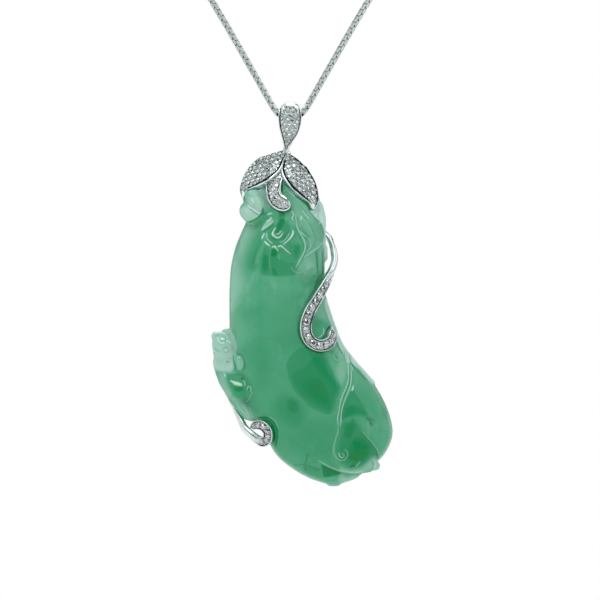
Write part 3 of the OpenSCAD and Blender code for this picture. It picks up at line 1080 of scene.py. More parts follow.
HOOK = [
    [-48, 219, -72, 0.36, -150, 0], [-54.6, 229.4, -36, 0.38, -84, 0], [-52.8, 237, -14, 0.4, -50, 0],
    [-50, 244.2, -4, 0.46, -40, 0], [-47.2, 250.8, 2, 0.54, -34, 0], [-44, 257.4, 6, 0.6, -30, 0],
    [-38, 263.4, 10, 0.68, -28, 0], [-31.5, 268.6, 16, 0.78, -26, 0.2], [-25, 271.2, 24, 0.94, -24, 1],
    [-20.4, 267, 36, 0.96, -22, 1], [-20.8, 260, 50, 0.94, -24, 1], [-25.4, 255, 56, 0.92, -28, 1],
    [-30, 254.2, 50, 0.84, -32, 1], [-33.4, 255, 42, 0.68, -34, 1], [-35.6, 256.2, 36, 0.3, -36, 0],
]
# The leaves and the stem: across, down, width, depth below the dome, share of the bed, share of the rims
LEFT_LEAF = [
    [-0.6, 1.2, 5, 0, 0.97, 0.5], [-9.2, 7.8, 17.6, 0, 1, 0.5], [-16, 13.7, 26.6, 0, 1, 0.6],
    [-23.7, 19.2, 30, 0, 1, 0.8], [-31.5, 25.3, 28.6, 0, 1, 1], [-38.3, 31.9, 22.6, 0, 1, 1],
    [-43, 39.8, 12.8, 0, 1, 1], [-43.8, 49.4, 2.4, 0, 0, 1],
]
RIGHT_LEAF = [
    [1, 2.4, 5, 30, 0.97, 0.5], [5.6, 10.8, 17.4, 20, 1, 0.5], [9, 20, 27.4, 8, 1, 0.7],
    [14.6, 29.1, 28.6, 0, 1, 0.9], [21, 37.5, 26.2, 0, 1, 1], [25.7, 45.7, 20, 0, 1, 1],
    [28, 53, 11.6, 0, 1, 1], [27.6, 60.2, 2.4, 0, 0, 1],
]
STEM = [
    [-4, 16, 8, 70, 0.97, 0.3], [-9.6, 25, 12.4, 60, 1, 0.3], [-12.6, 34, 14.8, 46, 1, 0.6],
    [-12.9, 43, 15.4, 36, 1, 1], [-9.5, 50.5, 16, 30, 1, 1], [-3.5, 54.2, 16, 26, 1, 1],
    [1.5, 54.7, 13, 25, 1, 1], [4.5, 54, 6, 24, 0, 1],
]
# The bail: forwards, up, across, share of the width, turn in degrees, share of the bed
BAIL = [
    [0.1, -0.98, -4, 0.1, -30, 0], [0.4, -0.84, -3.4, 0.27, -14, 2.2], [0.72, -0.66, -2, 0.6, -10, 3],
    [0.95, -0.45, -0.8, 0.94, -6, 3], [1.06, -0.22, -0.2, 1.12, -2, 3], [1, 0, 0, 1.15, 6, 3],
    [0.87, 0.42, 0.1, 1.1, 24, 2.3], [0.64, 0.8, 0.2, 0.98, 48, 1.2], [0.32, 1, 0.4, 0.82, 70, -0.4],
    [0, 1.06, 0.5, 0.78, 90, -1], [-0.4, 0.97, 0.4, 0.84, 116, -1], [-0.8, 0.55, 0, 0.98, 148, -1],
    [-0.98, -0.04, -0.4, 1.02, 176, -1], [-0.92, -0.28, -0.8, 0.98, 184, -1],
    [-0.68, -0.54, -1.8, 0.76, 190, -1], [-0.32, -0.8, -3, 0.46, 196, -1], [0, -0.96, -4, 0.3, 200, -1],
]


def cut_stone() -> bpy.types.Mesh:
    """A stone of size 1: a table, sixteen crown facets, a girdle and a pavilion point."""
    bm = bmesh.new()
    # rings of eight corners: radius, height and turn, in eighths
    for radius, height, turn in ((0.28, 0.17, 0.0), (0.5, 0.02, 0.5), (0.5, -0.02, 0.5)):
        for k in range(8):
            angle = 2 * math.pi * (k + turn) / 8
            bm.verts.new((radius * math.cos(angle), radius * math.sin(angle), height))
    bm.verts.new((0, 0, -StoneField.pavilion))
    bmesh.ops.convex_hull(bm, input=bm.verts)
    bmesh.ops.dissolve_limit(bm, angle_limit=math.radians(1), verts=bm.verts, edges=bm.edges)
    return closed_mesh(bm, "brilliant")


def grain_bead() -> bpy.types.Mesh:
    """A raised grain of metal, of radius 1, that holds stones at their girdles."""
    bm = bmesh.new()
    bmesh.ops.create_uvsphere(bm, u_segments=8, v_segments=4, radius=1)
    return closed_mesh(bm, "grain")


def seated(seat: Seat) -> Matrix:
    """The matrix that puts a template of size 1 at a seat."""
    side = Vector((0, 0.3, 1)).cross(seat.facing).normalized()
    turn = turn_to(side, seat.facing.cross(side), seat.facing)
    return Matrix.Translation(seat.middle) @ turn @ Matrix.Scale(seat.size, 4)


class Mount:
    """The metal that holds the jade, and every stone in it."""

    stone_size = 0.76
    fill_sizes = (0.62, 0.52, 0.44)
    row_fill_shares = (0.9, 0.7)
    leaf_grain, row_grain = 0.085, 0.1
    lean = 7.0
    knot_radius, knot_swell, knot_drop = 0.3, 1.3, 0.5
    post_radius, post_end, post_space = 0.88, 0.9, 0.1

    def __init__(self, metal: bpy.types.Material, stones: bpy.types.Material) -> None:
        """Keeps the finishes and works out the bands.

        Args:
            metal: The polished white metal.
            stones: The cut stones' finish.
        """
        self.metal, self.stones = metal, stones
        self.leaves, self.bail = Leaves(), Bail()
        self.vine = Scroll("vine", VINE, 2.05, 46, 1.16)
        self.hook = Scroll("hook", HOOK, 1.9, 34, 0.9)
        self.brilliant, self.grain = cut_stone(), grain_bead()

    def leaf_bands(self, factor: int = 3) -> dict[str, Band]:
        """The bands of the bail, the leaves and the stem, with more stations for a larger factor."""
        leaf = self.leaves.stations
        return {
            "bail": Band(self.bail.stations(36 * factor), (0.18, 0.18), (0.14, 0.1), 0.3, 1.2),
            "left_leaf": Band(leaf(LEFT_LEAF, 18 * factor), (0.26, 0.17), (0.42, 0.08)),
            "right_leaf": Band(leaf(RIGHT_LEAF, 18 * factor), (0.17, 0.24), (0.3, 0.42)),
            "stem": Band(leaf(STEM, 16 * factor), (0.46, 0.34), (0.14, 0.16)),
        }

    def seat_bands(self) -> list[Band]:
        """The bands that lie in the jade."""
        bands = self.leaf_bands()
        leaves = [bands[name] for name in ("left_leaf", "right_leaf", "stem")]
        return leaves + [self.vine.band(), self.hook.band()]

    def set_stones(self, name: str, seats: Sequence[Seat]) -> None:
        """Makes one field of stones.

        Args:
            name: The node that it stands for.
            seats: Where its stones sit.
        """
        bm = bmesh.new()
        hand = random.Random(len(seats))
        stamp(bm, self.brilliant, (seated(seat) @ self.tilt(hand) for seat in seats))
        piece = from_bmesh(bm, f"cut_{name}", Body.PENDANT, Slot.STONE, self.stones, 0)
        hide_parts(name)

    def tilt(self, hand: random.Random) -> Matrix:
        """A small lean and any turn, as no two stones are set quite alike."""
        lean = [math.radians(hand.uniform(-self.lean, self.lean)) for _ in range(2)]
        turn = Matrix.Rotation(hand.uniform(0, math.pi / 4), 4, "Z")
        return Matrix.Rotation(lean[0], 4, "X") @ Matrix.Rotation(lean[1], 4, "Y") @ turn

    def make_head(self) -> None:
        """Makes the bail, the leaves, the stem and the knot that joins them."""
        bm = bmesh.new()
        bands = self.leaf_bands()
        for band in bands.values():
            band.draw(bm)
        fine = self.leaf_bands(6)
        over = {"right_leaf": ("left_leaf",), "stem": ("left_leaf", "right_leaf")}
        for name, band in fine.items():
            above = [fine[other] for other in over.get(name, ())]
            bed = StoneField(band, self.stone_size, above=above)
            seats = bed.filled(bed.rows_across(), self.fill_sizes)
            self.set_stones(f"{name}_stones", seats)
            stamp(bm, self.grain, bed.beads(seats, self.leaf_grain))
        self.draw_knot(bm, bands)
        piece = from_bmesh(bm, "set_leaf_mount", Body.PENDANT, Slot.GOLD, self.metal, 40)
        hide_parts("leaf_mount")

    def draw_knot(self, bm: BMesh, bands: dict[str, Band]) -> None:
        """Adds the solder knot and the hidden post.

        Args:
            bm: The mount's mesh.
            bands: Its bands, by name.
        """
        neck = self.leaves.neck
        tied = (("left_leaf", 3), ("right_leaf", 1), ("bail", 3), ("bail", -4), ("stem", 3))
        ties = [bands[name].stations[i].middle for name, i in tied]
        ties.append(Vector((neck.x, CHART.set_back, neck.z - self.knot_drop)))
        for tie in ties:
            pill(bm, neck, tie, self.knot_radius * self.knot_swell, self.knot_radius)
        foot, top = CHART.top + self.post_space + self.post_end, neck.z - self.post_end
        ends = (Vector((neck.x, CHART.set_back, z)) for z in (foot, top))
        pill(bm, *ends, self.post_radius, self.post_radius)

    def make_scroll(self, scroll: Scroll, node: str) -> None:
        """Makes a scroll and its stones.

        Args:
            scroll: The scroll.
            node: The node that its metal stands for.
        """
        bm = bmesh.new()
        bed = scroll.field()
        seats = bed.filled(bed.row_along(), [share * scroll.stone for share in self.row_fill_shares])
        scroll.band().draw(bm)
        stamp(bm, self.grain, bed.beads(seats, self.row_grain))
        piece = from_bmesh(bm, f"set_{node}", Body.PENDANT, Slot.GOLD, self.metal, 40)
        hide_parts(node)
        self.set_stones(f"{scroll.name}_stones", seats)

    def make(self) -> None:
        """Makes every piece of the mount."""
        self.make_head()
        self.make_scroll(self.vine, "vine_scroll")
        self.make_scroll(self.hook, "edge_hook")


# Jade


@dataclass(frozen=True)
class Stroke:
    """A carved line on the front: points on the chart, half width, height, paleness, which on a ridge is a
    painted highlight, and a brighter painted highlight.

    A point may hold a third number, its own share of the half width.
    """

    points: tuple[tuple[float, ...], ...]
    width: float = 1.0
    height: float = 0.16
    # how pale a ridge is painted, as a painted highlight
    pale: float = 0.0
    # how strong its brighter painted highlight is
    gleam: float = 0.0

    def steps(self) -> tuple[np.ndarray, np.ndarray]:
        """Close points along it, as steps from the chart's corner, and the half width at each."""
        rows = np.asarray([(*p[:2], p[2] if len(p) > 2 else 1.0) for p in self.points], float)
        if len(rows) > 2:
            rows = Curve(rows).samples(6 * (len(rows) - 1))
        return rows[:, :2] - CORNER, rows[:, 2] * self.width

    def spread(self, spots: np.ndarray, reach: float) -> tuple[np.ndarray, np.ndarray, np.ndarray]:
        """How far places are from the line.

        Args:
            spots: Places on the chart.
            reach: How far off they may be, in half widths.

        Returns:
            Each place's distance, the half width there and how full the line is there.
        """
        line, widths = self.steps()
        gap, along = line_distance(spots, line, widths.max() * reach)
        wide = np.interp(along, np.linspace(0, 1, len(widths)), widths)
        # full along its middle and fading at both ends
        full = smooth(along, -0.08, 0.12) * (1 - smooth(along, 0.88, 1.08))
        return gap, wide, full


def line_distance(spots: np.ndarray, line: np.ndarray, reach: float) -> tuple[np.ndarray, np.ndarray]:
    """Distance from places on the chart to a line through points.

    Args:
        spots: The places.
        line: The line's points.
        reach: Places further off than this are left at a large distance.

    Returns:
        Each place's distance, and how far along the line it is, from 0 to 1.
    """
    far = np.full(len(spots), 1e3)
    along = np.zeros(len(spots))
    low, high = line.min(0) - reach, line.max(0) + reach
    near = np.flatnonzero(((spots > low) & (spots < high)).all(1))
    some = spots[near]
    best, where = far[near], along[near]
    for i in range(len(line) - 1):
        way = line[i + 1] - line[i]
        share = np.clip(((some - line[i]) @ way) / max(1e-9, way @ way), 0, 1)
        gap = np.linalg.norm(some - line[i] - share[:, None] * way, axis=1)
        closer = gap < best
        best[closer] = gap[closer]
        where[closer] = (i + share[closer]) / (len(line) - 1)
    far[near], along[near] = best, where
    return far, along


@dataclass(frozen=True)
class Patch:
    """A patch of colour: its outline in the picture's points, its soft edge's width and its strength."""

    outline: tuple[Point, ...]
    soft: float
    strength: float

    def inside(self, spots: np.ndarray) -> np.ndarray:
        """How far inside the outline each place is, from 0 outside to 1 inside.

        Args:
            spots: Places on the chart.

        Returns:
            One value for each place.
        """
        ring = np.asarray(self.outline, float) - CORNER
        ring = Curve(np.vstack([ring, ring[:1]])).samples(5 * len(ring))
        within = np.zeros(len(spots), bool)
        for a, b in zip(ring[:-1], ring[1:]):
            crosses = (a[1] > spots[:, 1]) != (b[1] > spots[:, 1])
            slope = (b[0] - a[0]) / (b[1] - a[1] if b[1] != a[1] else 1e-9)
            within ^= crosses & (spots[:, 0] < a[0] + slope * (spots[:, 1] - a[1]))
        gap, _ = line_distance(spots, ring, self.soft)
        signed = np.where(within, np.minimum(gap, self.soft), -np.minimum(gap, self.soft))
        return 0.5 + 0.5 * signed / self.soft


def smooth(value: np.ndarray, low: float, high: float) -> np.ndarray:
    """Rises smoothly from 0 at low to 1 at high."""
    share = np.clip((value - low) / (high - low), 0, 1)
    return share * share * (3 - 2 * share)


# The melon's rows: down, left edge, right edge, share of the bulge
BODY = [
    [0, -22, 4, 20], [3, -31, 12, 38], [10, -39, 20, 54], [20, -43, 26, 65],
    [32, -44, 31, 72], [47, -43, 36, 78], [62, -49, 36, 84], [77, -55, 36, 90],
    [97, -59.5, 35, 96], [122, -61, 35.5, 100], [147, -61, 41.6, 100], [167, -60.5, 48.6, 100],
    [182, -59.5, 58, 100], [197, -57, 71, 100], [212, -53, 83.6, 100], [232, -44, 95.2, 98],
    [252, -33, 102, 92], [267, -24, 102.5, 85], [282, -15.5, 96, 74], [292, -6, 87, 63],
    [302, 8.2, 74, 50], [308, 19.8, 66, 37], [312.2, 32, 55, 23], [313.8, 38.6, 48, 8],
]
# Lumps of the beast and of the buds: start, end (across, down, share of the bulge), radius at each
BEAST = [
    [[-66, 174, 30], [-65, 184, 28], 2.1, 2.0], [[-74, 166, 22], [-70, 168, 26], 0.86, 0.94],
    [[-64, 163, 20], [-61, 165, 26], 0.86, 0.94], [[-70, 186, 40], [-65, 188, 42], 1.17, 1.09],
    [[-65, 192, 18], [-62, 208, 14], 2.12, 1.87], [[-60, 190, 34], [-54, 200, 40], 1.09, 1.03],
    [[-53, 188, 46], [-49, 196, 52], 0.86, 1.01], [[-62, 208, 8], [-55, 222, 12], 1.84, 1.68],
    [[-53, 214, 34], [-50, 220, 36], 1.95, 1.79], [[-45, 216, 48], [-41, 221, 54], 0.78, 0.86],
    [[-55, 226, 4], [-42.5, 243.4, 14], 1.4, 1.22], [[-42.5, 243.4, 14], [-37.5, 247, 20], 1.22, 0.9],
]
BUDS = [
    [[-43, 23, 30], [-41.5, 33, 38], 0.8, 0.9],
    [[-41, 41, 50], [-36, 46, 58], 1.68, 1.76], [[-37, 27, 56], [-32, 36, 62], 1.43, 1.5],
    [[27.5, 36.5, 32], [29.6, 49, 34], 1.0, 1.15], [[29.6, 49, 34], [31.6, 66, 26], 1.15, 0.68],
    [[34, 78, 14], [35, 88, 14], 0.67, 0.55], [[41, 310.9, 12], [46.5, 310.8, 12], 0.88, 0.88],
    [[80, 292, 34], [85, 294.8, 32], 0.95, 0.9],
    [[-31, 14, 42], [-29, 32, 50], 1.2, 1.2], [[-4, 10, 52], [8, 30, 56], 1.3, 1.2],
    [[8, 30, 56], [20, 42, 48], 1.2, 1.0],
]
# The small melon: across, down, share of the bulge, radius in steps
SMALL_MELON = [
    [31, 258, 52, 1], [36, 262, 58, 12], [45, 269, 54, 20], [54, 276, 51, 22.5], [62, 282, 50, 21.5],
    [70, 287.5, 45, 17.5], [77, 291.5, 40, 12], [82, 294, 33, 7], [85, 295.5, 30, 1],
]
SMALL_MELON_FLAT = 0.55
# The tendrils: across, down, width and, where it is not 0, how far they stand off
TENDRILS = [
    [[30, 70, 1, 0], [33, 100, 0.9, 0], [33, 130, 0.8, 0], [40, 150, 0.8, 0], [48, 172, 0.9, 0],
     [57, 192, 1, 0], [60, 212, 1, 0], [52, 230, 0.9, 0], [48.6, 248, 0.7, 0.05], [47.4, 258, 0.45, 0.1],
     [44.6, 272, 0.4, 0.15], [45, 283, 0.4, 0.2], [50.6, 288.2, 0.4, 0.3], [56.4, 285, 0.4, 0.4],
     [55.6, 279.6, 0.36, 0.4]],
    [[-27, 69, 0.5], [-23, 76, 0.8], [-15, 79, 1], [-5, 75, 1], [1, 66, 1], [1, 57, 0.9],
     [-5, 50, 0.8], [-12, 51, 0.7], [-15, 58, 0.7], [-12, 63, 0.6]],
    [[-20, 41, 0.6], [-25, 51, 1.4], [-31, 60, 0.7]],
    [[4, 54, 0.8], [12, 66, 1.3], [14, 78, 1.3], [7, 92, 0.7], [4, 100, 0.4]],
    [[9, 46, 0.8], [17, 58, 1.3], [21, 70, 1.3], [19, 80, 0.6]],
    [[31, 70, 0.7], [24, 80, 1.3], [15, 86, 1.2], [9, 93, 0.5]],
    [[28, 76, 0.6], [28.5, 92, 1], [27, 106, 0.6]],
    [[13, 108, 0.5], [18, 98, 0.9], [24, 96, 0.8], [25, 106, 0.5]],
    [[18, 114, 0.4], [15, 123, 0.8], [13, 132, 0.4]],
    [[46, 188, 0.5], [44, 183, 0.7], [49, 177, 0.8], [54, 180, 0.5]],
]
# The ridge on the right edge: across, down, share of the bulge, width
EDGE_RIDGE = [
    [34, 128, 10, 0.6], [40, 150, 12, 0.9], [49, 175, 12, 1.2], [62, 193, 12, 1.4],
    [74, 206, 12, 1.3], [83, 214, 10, 0.9],
]

# Ridges are painted pale, with painted highlights along them; cuts and the grooves beside ridges are
# painted deep green as painted shade.
CARVING = (
    # the bud: a painted highlight along its edge, over its crease painted in shade
    Stroke(((248.4, 206.6), (252, 208.6, 0.9), (256, 211.6, 0.8), (259, 213.4, 1.2), (261.2, 212.8, 0.8)),
           0.8, 0.12, 0.3, 0.75),
    Stroke(((249.5, 209.4), (254, 212.4), (258, 215.2)), 0.9, -0.12),
    Stroke(((252.2, 198.6), (252.6, 200.6), (253.6, 203)), 0.8, 0.1, 0.2, 0.8),
    Stroke(((254.6, 201), (255.4, 205), (256.4, 207.4)), 0.7, 0.06, 0.5),
    Stroke(((247, 223), (254, 221), (259.6, 217), (262.6, 212.6), (264, 208)), 1.3, -0.22),
    # the petal beside the stem's foot
    Stroke(((262.4, 229.2, 0.4), (265.6, 225.2), (269, 222, 1.1), (271.6, 219.4, 0.8)), 2.0, 0.16, 0.75),
    Stroke(((261.8, 230.2), (266, 227.4), (270, 224.4), (273.2, 221.2)), 0.65, 0.06, 0.2, 0.85),
    Stroke(((266.4, 221.4), (268.6, 220.6), (270.2, 218.8), (270.8, 217.4)), 0.6, 0.05, 0.2, 0.75),
    Stroke(((268.2, 214.8), (270, 213.9), (271.8, 213.8)), 0.9, 0.1, 0.2, 0.7),
    Stroke(((263, 232), (268, 229), (273.6, 225)), 0.9, -0.2),
    # the horseshoe ridges under the stem, and the spikes below them
    Stroke(((275.8, 228, 0.5), (273.6, 231.4), (272.8, 234.4, 1.4), (275, 236.8), (277.8, 238, 0.9),
           (280.8, 236.4, 0.8), (283, 233, 0.5)), 0.95, 0.2, 0.3, 0.85),
    Stroke(((281.2, 231.2), (279, 234), (275.8, 234.4)), 0.7, 0.1, 0.5, 0.25),
    Stroke(((271.6, 237.4), (274, 239.8), (278, 240.4), (283, 238.6), (286.4, 234)), 1.0, -0.2),
    Stroke(((266.6, 233.6), (267, 238), (269.4, 241.4), (272.6, 243.8)), 0.9, 0.16, 0.55, 0.1),
    Stroke(((289.2, 234), (287, 237.8), (284.2, 241), (280.6, 242.8)), 0.9, 0.14, 0.45),
    Stroke(((292.8, 230.6, 0.8), (293, 233.6, 1.5), (290.4, 238), (287, 241.6, 0.8), (283.6, 244.4, 0.7)),
           0.85, 0.18, 0.3, 0.8),
    Stroke(((265, 241.6, 0.9), (267, 243.8, 1.2), (269.8, 245.8, 0.8)), 0.9, 0.14, 0.3, 0.9),
    Stroke(((272.6, 247), (274.8, 246.6, 1.1), (276.4, 248.6, 0.7), (278, 251, 0.6)), 0.85, 0.12, 0.3, 0.8),
    Stroke(((278.2, 247, 0.8), (280.8, 246, 1.1), (284.4, 248.8, 0.8), (290.2, 253.8, 0.6)),
           0.8, 0.12, 0.3, 0.75),
    Stroke(((262, 239, 0.6), (263, 236.4, 1.2), (264.6, 233.6, 0.6)), 0.95, 0.12, 0.3, 0.85),
    Stroke(((291.6, 211.4), (293.6, 215), (292, 218.4), (293.4, 220.6)), 0.8, 0.12, 0.3, 0.5),
    Stroke(((289.8, 192), (292, 194), (294.6, 196.4)), 0.8, 0.08, 0.2, 0.8),
    # soft creases running down from the crown
    Stroke(((261, 242), (258, 248), (254.8, 256), (253.4, 262), (250.6, 268)), 1.3, -0.12),
    Stroke(((264.6, 244), (259, 255), (257, 264)), 2.2, 0.06, 0.15),
    Stroke(((270.4, 248.6), (269.6, 258), (270.4, 268)), 0.8, 0.05, 0.16),
    Stroke(((278.4, 255), (279, 258), (279.6, 259.6)), 0.7, 0.04, 0.3),
    # the ruffled leaf on the right
    Stroke(((295.6, 214, 0.7), (296.2, 222, 0.9), (297.8, 229), (300.6, 234.4), (304.2, 241), (305.2, 248),
           (302.8, 254.6, 1.1), (299.6, 260.6, 1.2), (296, 268, 0.7)), 1.0, 0.16, 0.55),
    Stroke(((300, 231), (303.6, 234.8), (308, 238), (310.4, 243), (309.8, 247.6), (306, 252)),
           0.9, 0.14, 0.5),
    Stroke(((302.6, 211), (305.6, 215.4), (308.6, 218.8)), 0.8, 0.12, 0.3, 0.4),
    Stroke(((301.8, 217), (300.6, 219.8)), 0.9, 0.1, 0.2, 0.7),
    Stroke(((302.4, 218.4), (307, 224), (311, 231), (313.6, 237), (314.2, 240.4)), 0.9, 0.13, 0.45),
    Stroke(((308.6, 222), (311, 223.6), (313.6, 224)), 0.8, 0.08, 0.3),
    Stroke(((322.2, 242), (317.4, 248), (310.6, 252.8), (304.4, 257)), 0.9, 0.14, 0.45),
    Stroke(((314.2, 241), (312.6, 245), (310, 249)), 0.9, 0.08, 0.3),
    Stroke(((299, 236), (303, 244), (303, 251), (299.6, 257)), 1.0, -0.1),
    Stroke(((316, 250), (317.2, 262), (318.4, 275)), 0.9, -0.18),
    Stroke(((323, 248), (323.2, 260), (322.6, 275)), 0.9, -0.18),
    Stroke(((320, 248), (320.4, 262), (320.8, 274)), 1.5, 0.1, 0.35),
    Stroke(((291.6, 267.6), (295, 272), (300, 273), (303, 271.4)), 0.8, 0.1, 0.3),
    Stroke(((309, 272), (311.4, 270.6), (313.6, 271.4), (312.6, 273.6)), 0.7, 0.1, 0.3),
    # the pale lobe at the top right
    Stroke(((311, 212.6), (314.6, 217.6), (320, 223), (323.2, 229.6), (324.4, 239)), 1.0, -0.14),
    Stroke(((317, 213), (315, 216.4)), 0.9, 0.06, 0.3, 0.4),
    Stroke(((319, 224), (322.4, 220)), 0.7, 0.06, 0.2, 0.6),
    # ridges along the right edge
    Stroke(((326.5, 300), (331, 315), (336, 330)), 0.8, 0.12, 0.6, 0.1),
    Stroke(((323.6, 327.6), (323.6, 331.4), (321.6, 335), (318, 337.4)), 0.8, 0.1, 0.5),
    Stroke(((321, 339), (325, 337.4), (328.6, 333.4)), 1.0, -0.2),
    Stroke(((336.4, 341), (339.6, 348), (343, 352.6)), 0.9, -0.2),
    Stroke(((349.2, 354), (350.8, 361), (355, 367.6), (361, 374), (367, 380.2)), 0.9, -0.16),
    # the long tendril: two thin ridges painted pale as highlights, with a groove between them painted in
    # shade
    Stroke(((348.6, 364), (348.6, 374), (347.4, 382.4), (344.6, 390), (341.6, 397), (339.8, 404),
           (338.8, 411), (337.4, 417), (338.2, 424)), 0.6, 0.1, 0.7, 0.1),
    Stroke(((351, 364), (351.2, 375), (350.4, 383), (348.6, 389.6), (345, 398), (342, 407), (340.8, 416),
           (340.4, 425)), 0.6, 0.1, 0.7, 0.1),
    Stroke(((349.8, 366), (349.8, 376), (348.8, 384), (345.4, 392), (342, 401), (340.2, 409), (339.2, 416),
           (339.4, 423)), 0.55, -0.18),
    Stroke(((338.4, 425), (337.8, 431), (335.8, 437.4), (334, 444), (333.8, 451), (336.4, 456.6),
           (340.6, 459.2), (344.6, 458.4), (347.4, 454.8), (347.2, 450.6), (344.4, 448.6)),
           0.75, 0.08, 0.36),
    Stroke(((338.4, 451.6), (339.8, 455), (342.4, 456.8)), 0.8, 0.08, 0.25, 0.3),
    Stroke(((342.4, 452), (344, 454.4), (343.4, 456.6)), 0.7, 0.06, 0.25, 0.1),
    Stroke(((336.8, 446), (337.8, 453), (341.4, 457.6), (345, 455.4), (344.6, 451)), 0.7, -0.14),
    Stroke(((353, 384.8, 0.6), (352.6, 387.6, 1.2), (351.6, 390, 0.6)), 1.0, 0.1, 0.4, 0.7),
    Stroke(((352, 366.6), (352.8, 370.6)), 0.7, 0.06, 0.6),
    Stroke(((339.4, 350), (339.6, 353)), 0.7, 0.1, 0.7),
    Stroke(((341.6, 350.4), (343.4, 352.4), (342.4, 354)), 0.7, 0.1, 0.7),
    Stroke(((333.2, 354.2), (334.6, 358), (338, 360), (342.6, 357.6)), 0.7, 0.1, 0.35),
    Stroke(((335.6, 354.8), (338, 357.6)), 0.7, -0.16),
    # the edges of the small melon and its blossom end
    Stroke(((360.6, 431), (366, 437.4), (372, 444.4), (376.4, 451.6), (378, 458)), 0.8, -0.16),
    Stroke(((361.8, 429.6), (367.4, 436), (373.6, 443), (378, 450.4), (379.6, 457)), 0.9, 0.08, 0.26),
    Stroke(((318.6, 459.6, 0.6), (326, 464, 0.7), (334, 467.6, 0.8), (341, 469.8), (349, 471), (357, 470.6),
           (363.6, 469.4)), 1.2, 0.06, 0.34, 0.12),
    Stroke(((341, 471.6), (349, 473.2), (357, 472.6), (364, 471.4)), 0.8, -0.07),
    Stroke(((355.4, 465.6), (358, 462.8), (360, 460.4)), 0.7, 0.06, 0.4),
    Stroke(((371.6, 460), (373.6, 463.6), (372.6, 468)), 0.9, -0.16),
    Stroke(((328, 483.2), (341, 483.2)), 0.9, -0.12),
    # the beast's head: brow, ear, eye, cheek and mouth
    Stroke(((214.8, 333), (219, 332.3, 1.1), (225.6, 332.9, 0.9)), 0.95, 0.22, 0.3, 0.85),
    Stroke(((214.5, 336), (217, 335), (222, 334.9), (227, 336.4)), 0.7, -0.08),
    Stroke(((225.2, 329.2), (226.6, 329.6)), 0.9, 0.12, 0.3, 0.7),
    Stroke(((223, 331.6), (226, 327.8), (229.6, 329.6)), 0.8, 0.1, 0.4),
    Stroke(((220.6, 338.3), (222.4, 338.4, 1.2), (224.2, 338.6)), 1.15, 0.16, 0.3, 0.9),
    Stroke(((219.6, 337), (221.4, 341), (225, 340.6), (226, 338), (223, 335.8), (219.6, 337)), 0.6, -0.14),
    Stroke(((217.8, 337.6), (219, 340.8), (221.8, 342.5), (224.4, 341.4)), 0.75, 0.14, 0.3, 0.8),
    Stroke(((226, 340.2), (228.6, 340.6), (230.2, 342.8)), 0.7, 0.14, 0.3, 0.7),
    Stroke(((222.6, 349.4), (226, 346.8), (229.4, 349.4), (226, 352.4), (222.6, 349.6)), 0.6, -0.1),
    Stroke(((225, 349.4), (227, 349.4)), 1.4, 0.1, 0.5, 0.1),
    Stroke(((213.8, 350), (216.4, 352), (219, 353.2)), 0.7, 0.08, 0.4, 0.3),
    Stroke(((214, 348.4), (217.6, 350), (220, 351)), 0.6, -0.1),
    Stroke(((216.8, 354), (217.2, 358), (219.6, 360), (223, 358.4), (224.6, 355)), 0.65, 0.1, 0.6, 0.1),
    Stroke(((224.8, 360.4), (227, 357.8), (231, 356.6)), 0.7, 0.1, 0.5),
    Stroke(((226.6, 361), (229.6, 361.6)), 1.2, -0.12),
    # its foreleg and the crease behind the head
    Stroke(((233.6, 354), (233.4, 360), (235.6, 366), (235.2, 369.4)), 0.8, -0.2),
    Stroke(((238, 354.2), (241, 354), (244, 360), (244.8, 366), (243, 369.6)), 0.8, -0.16),
    Stroke(((237.6, 357.4), (239, 356.4), (240, 358)), 0.7, 0.1, 0.4, 0.4),
    Stroke(((238.4, 354.4), (239, 354.8)), 0.9, -0.26),
    Stroke(((216, 370), (222, 371.4), (229, 372.6), (236, 371.6)), 0.8, 0.08, 0.3),
    Stroke(((224, 372.6), (225.8, 375.8)), 0.9, 0.1, 0.3, 0.6),
    # its haunch, with a painted highlight on a facet over a hollow painted in shade, and the curl beside it
    Stroke(((230.6, 380, 0.5), (233.6, 381.4, 0.9), (237, 382.6, 1.3), (241.6, 383.8, 0.9)),
           1.3, 0.12, 0.3, 0.9),
    Stroke(((233, 382.8), (237, 384.4), (242, 385)), 0.7, 0.06, 0.2, 0.7),
    Stroke(((243.4, 380), (245, 382), (245, 385)), 0.7, 0.1, 0.4, 0.3),
    Stroke(((247.2, 389.6), (247.4, 386.8), (250, 385.8), (251.2, 388), (250.8, 391)), 0.75, 0.12, 0.5),
    Stroke(((248.8, 389), (250, 390)), 0.9, -0.24),
    Stroke(((245.6, 385), (246.4, 393), (245, 400)), 0.9, -0.06),
    Stroke(((226.6, 377.4), (234, 375.6), (241, 374.8), (248, 378.6), (252, 388), (255, 396)), 1.4, -0.05),
    Stroke(((236, 401.6), (242, 402), (247.6, 400), (251, 395), (253, 390)), 0.8, 0.08, 0.28),
    Stroke(((246, 404), (250, 412), (252.6, 421)), 1.2, -0.05),
    Stroke(((237, 404), (240.6, 408.6), (244.6, 413.4)), 1.2, 0.08, 0.3),
    # the notches beside the vine and round the hook's head, painted dark as the metal's shadow, with a
    # painted highlight by the hook's head
    Stroke(((298.4, 322), (298.8, 332), (302, 340.4), (308, 346.6), (314.6, 350.6)), 0.7, -0.22),
    Stroke(((259, 417), (264, 416.8), (269.6, 418.2), (274.4, 422.6), (276.8, 429), (277, 437), (275, 444)),
           0.8, -0.26),
    Stroke(((269.6, 415.6), (275.4, 420.4), (278.6, 427)), 0.7, 0.08, 0.3),
)
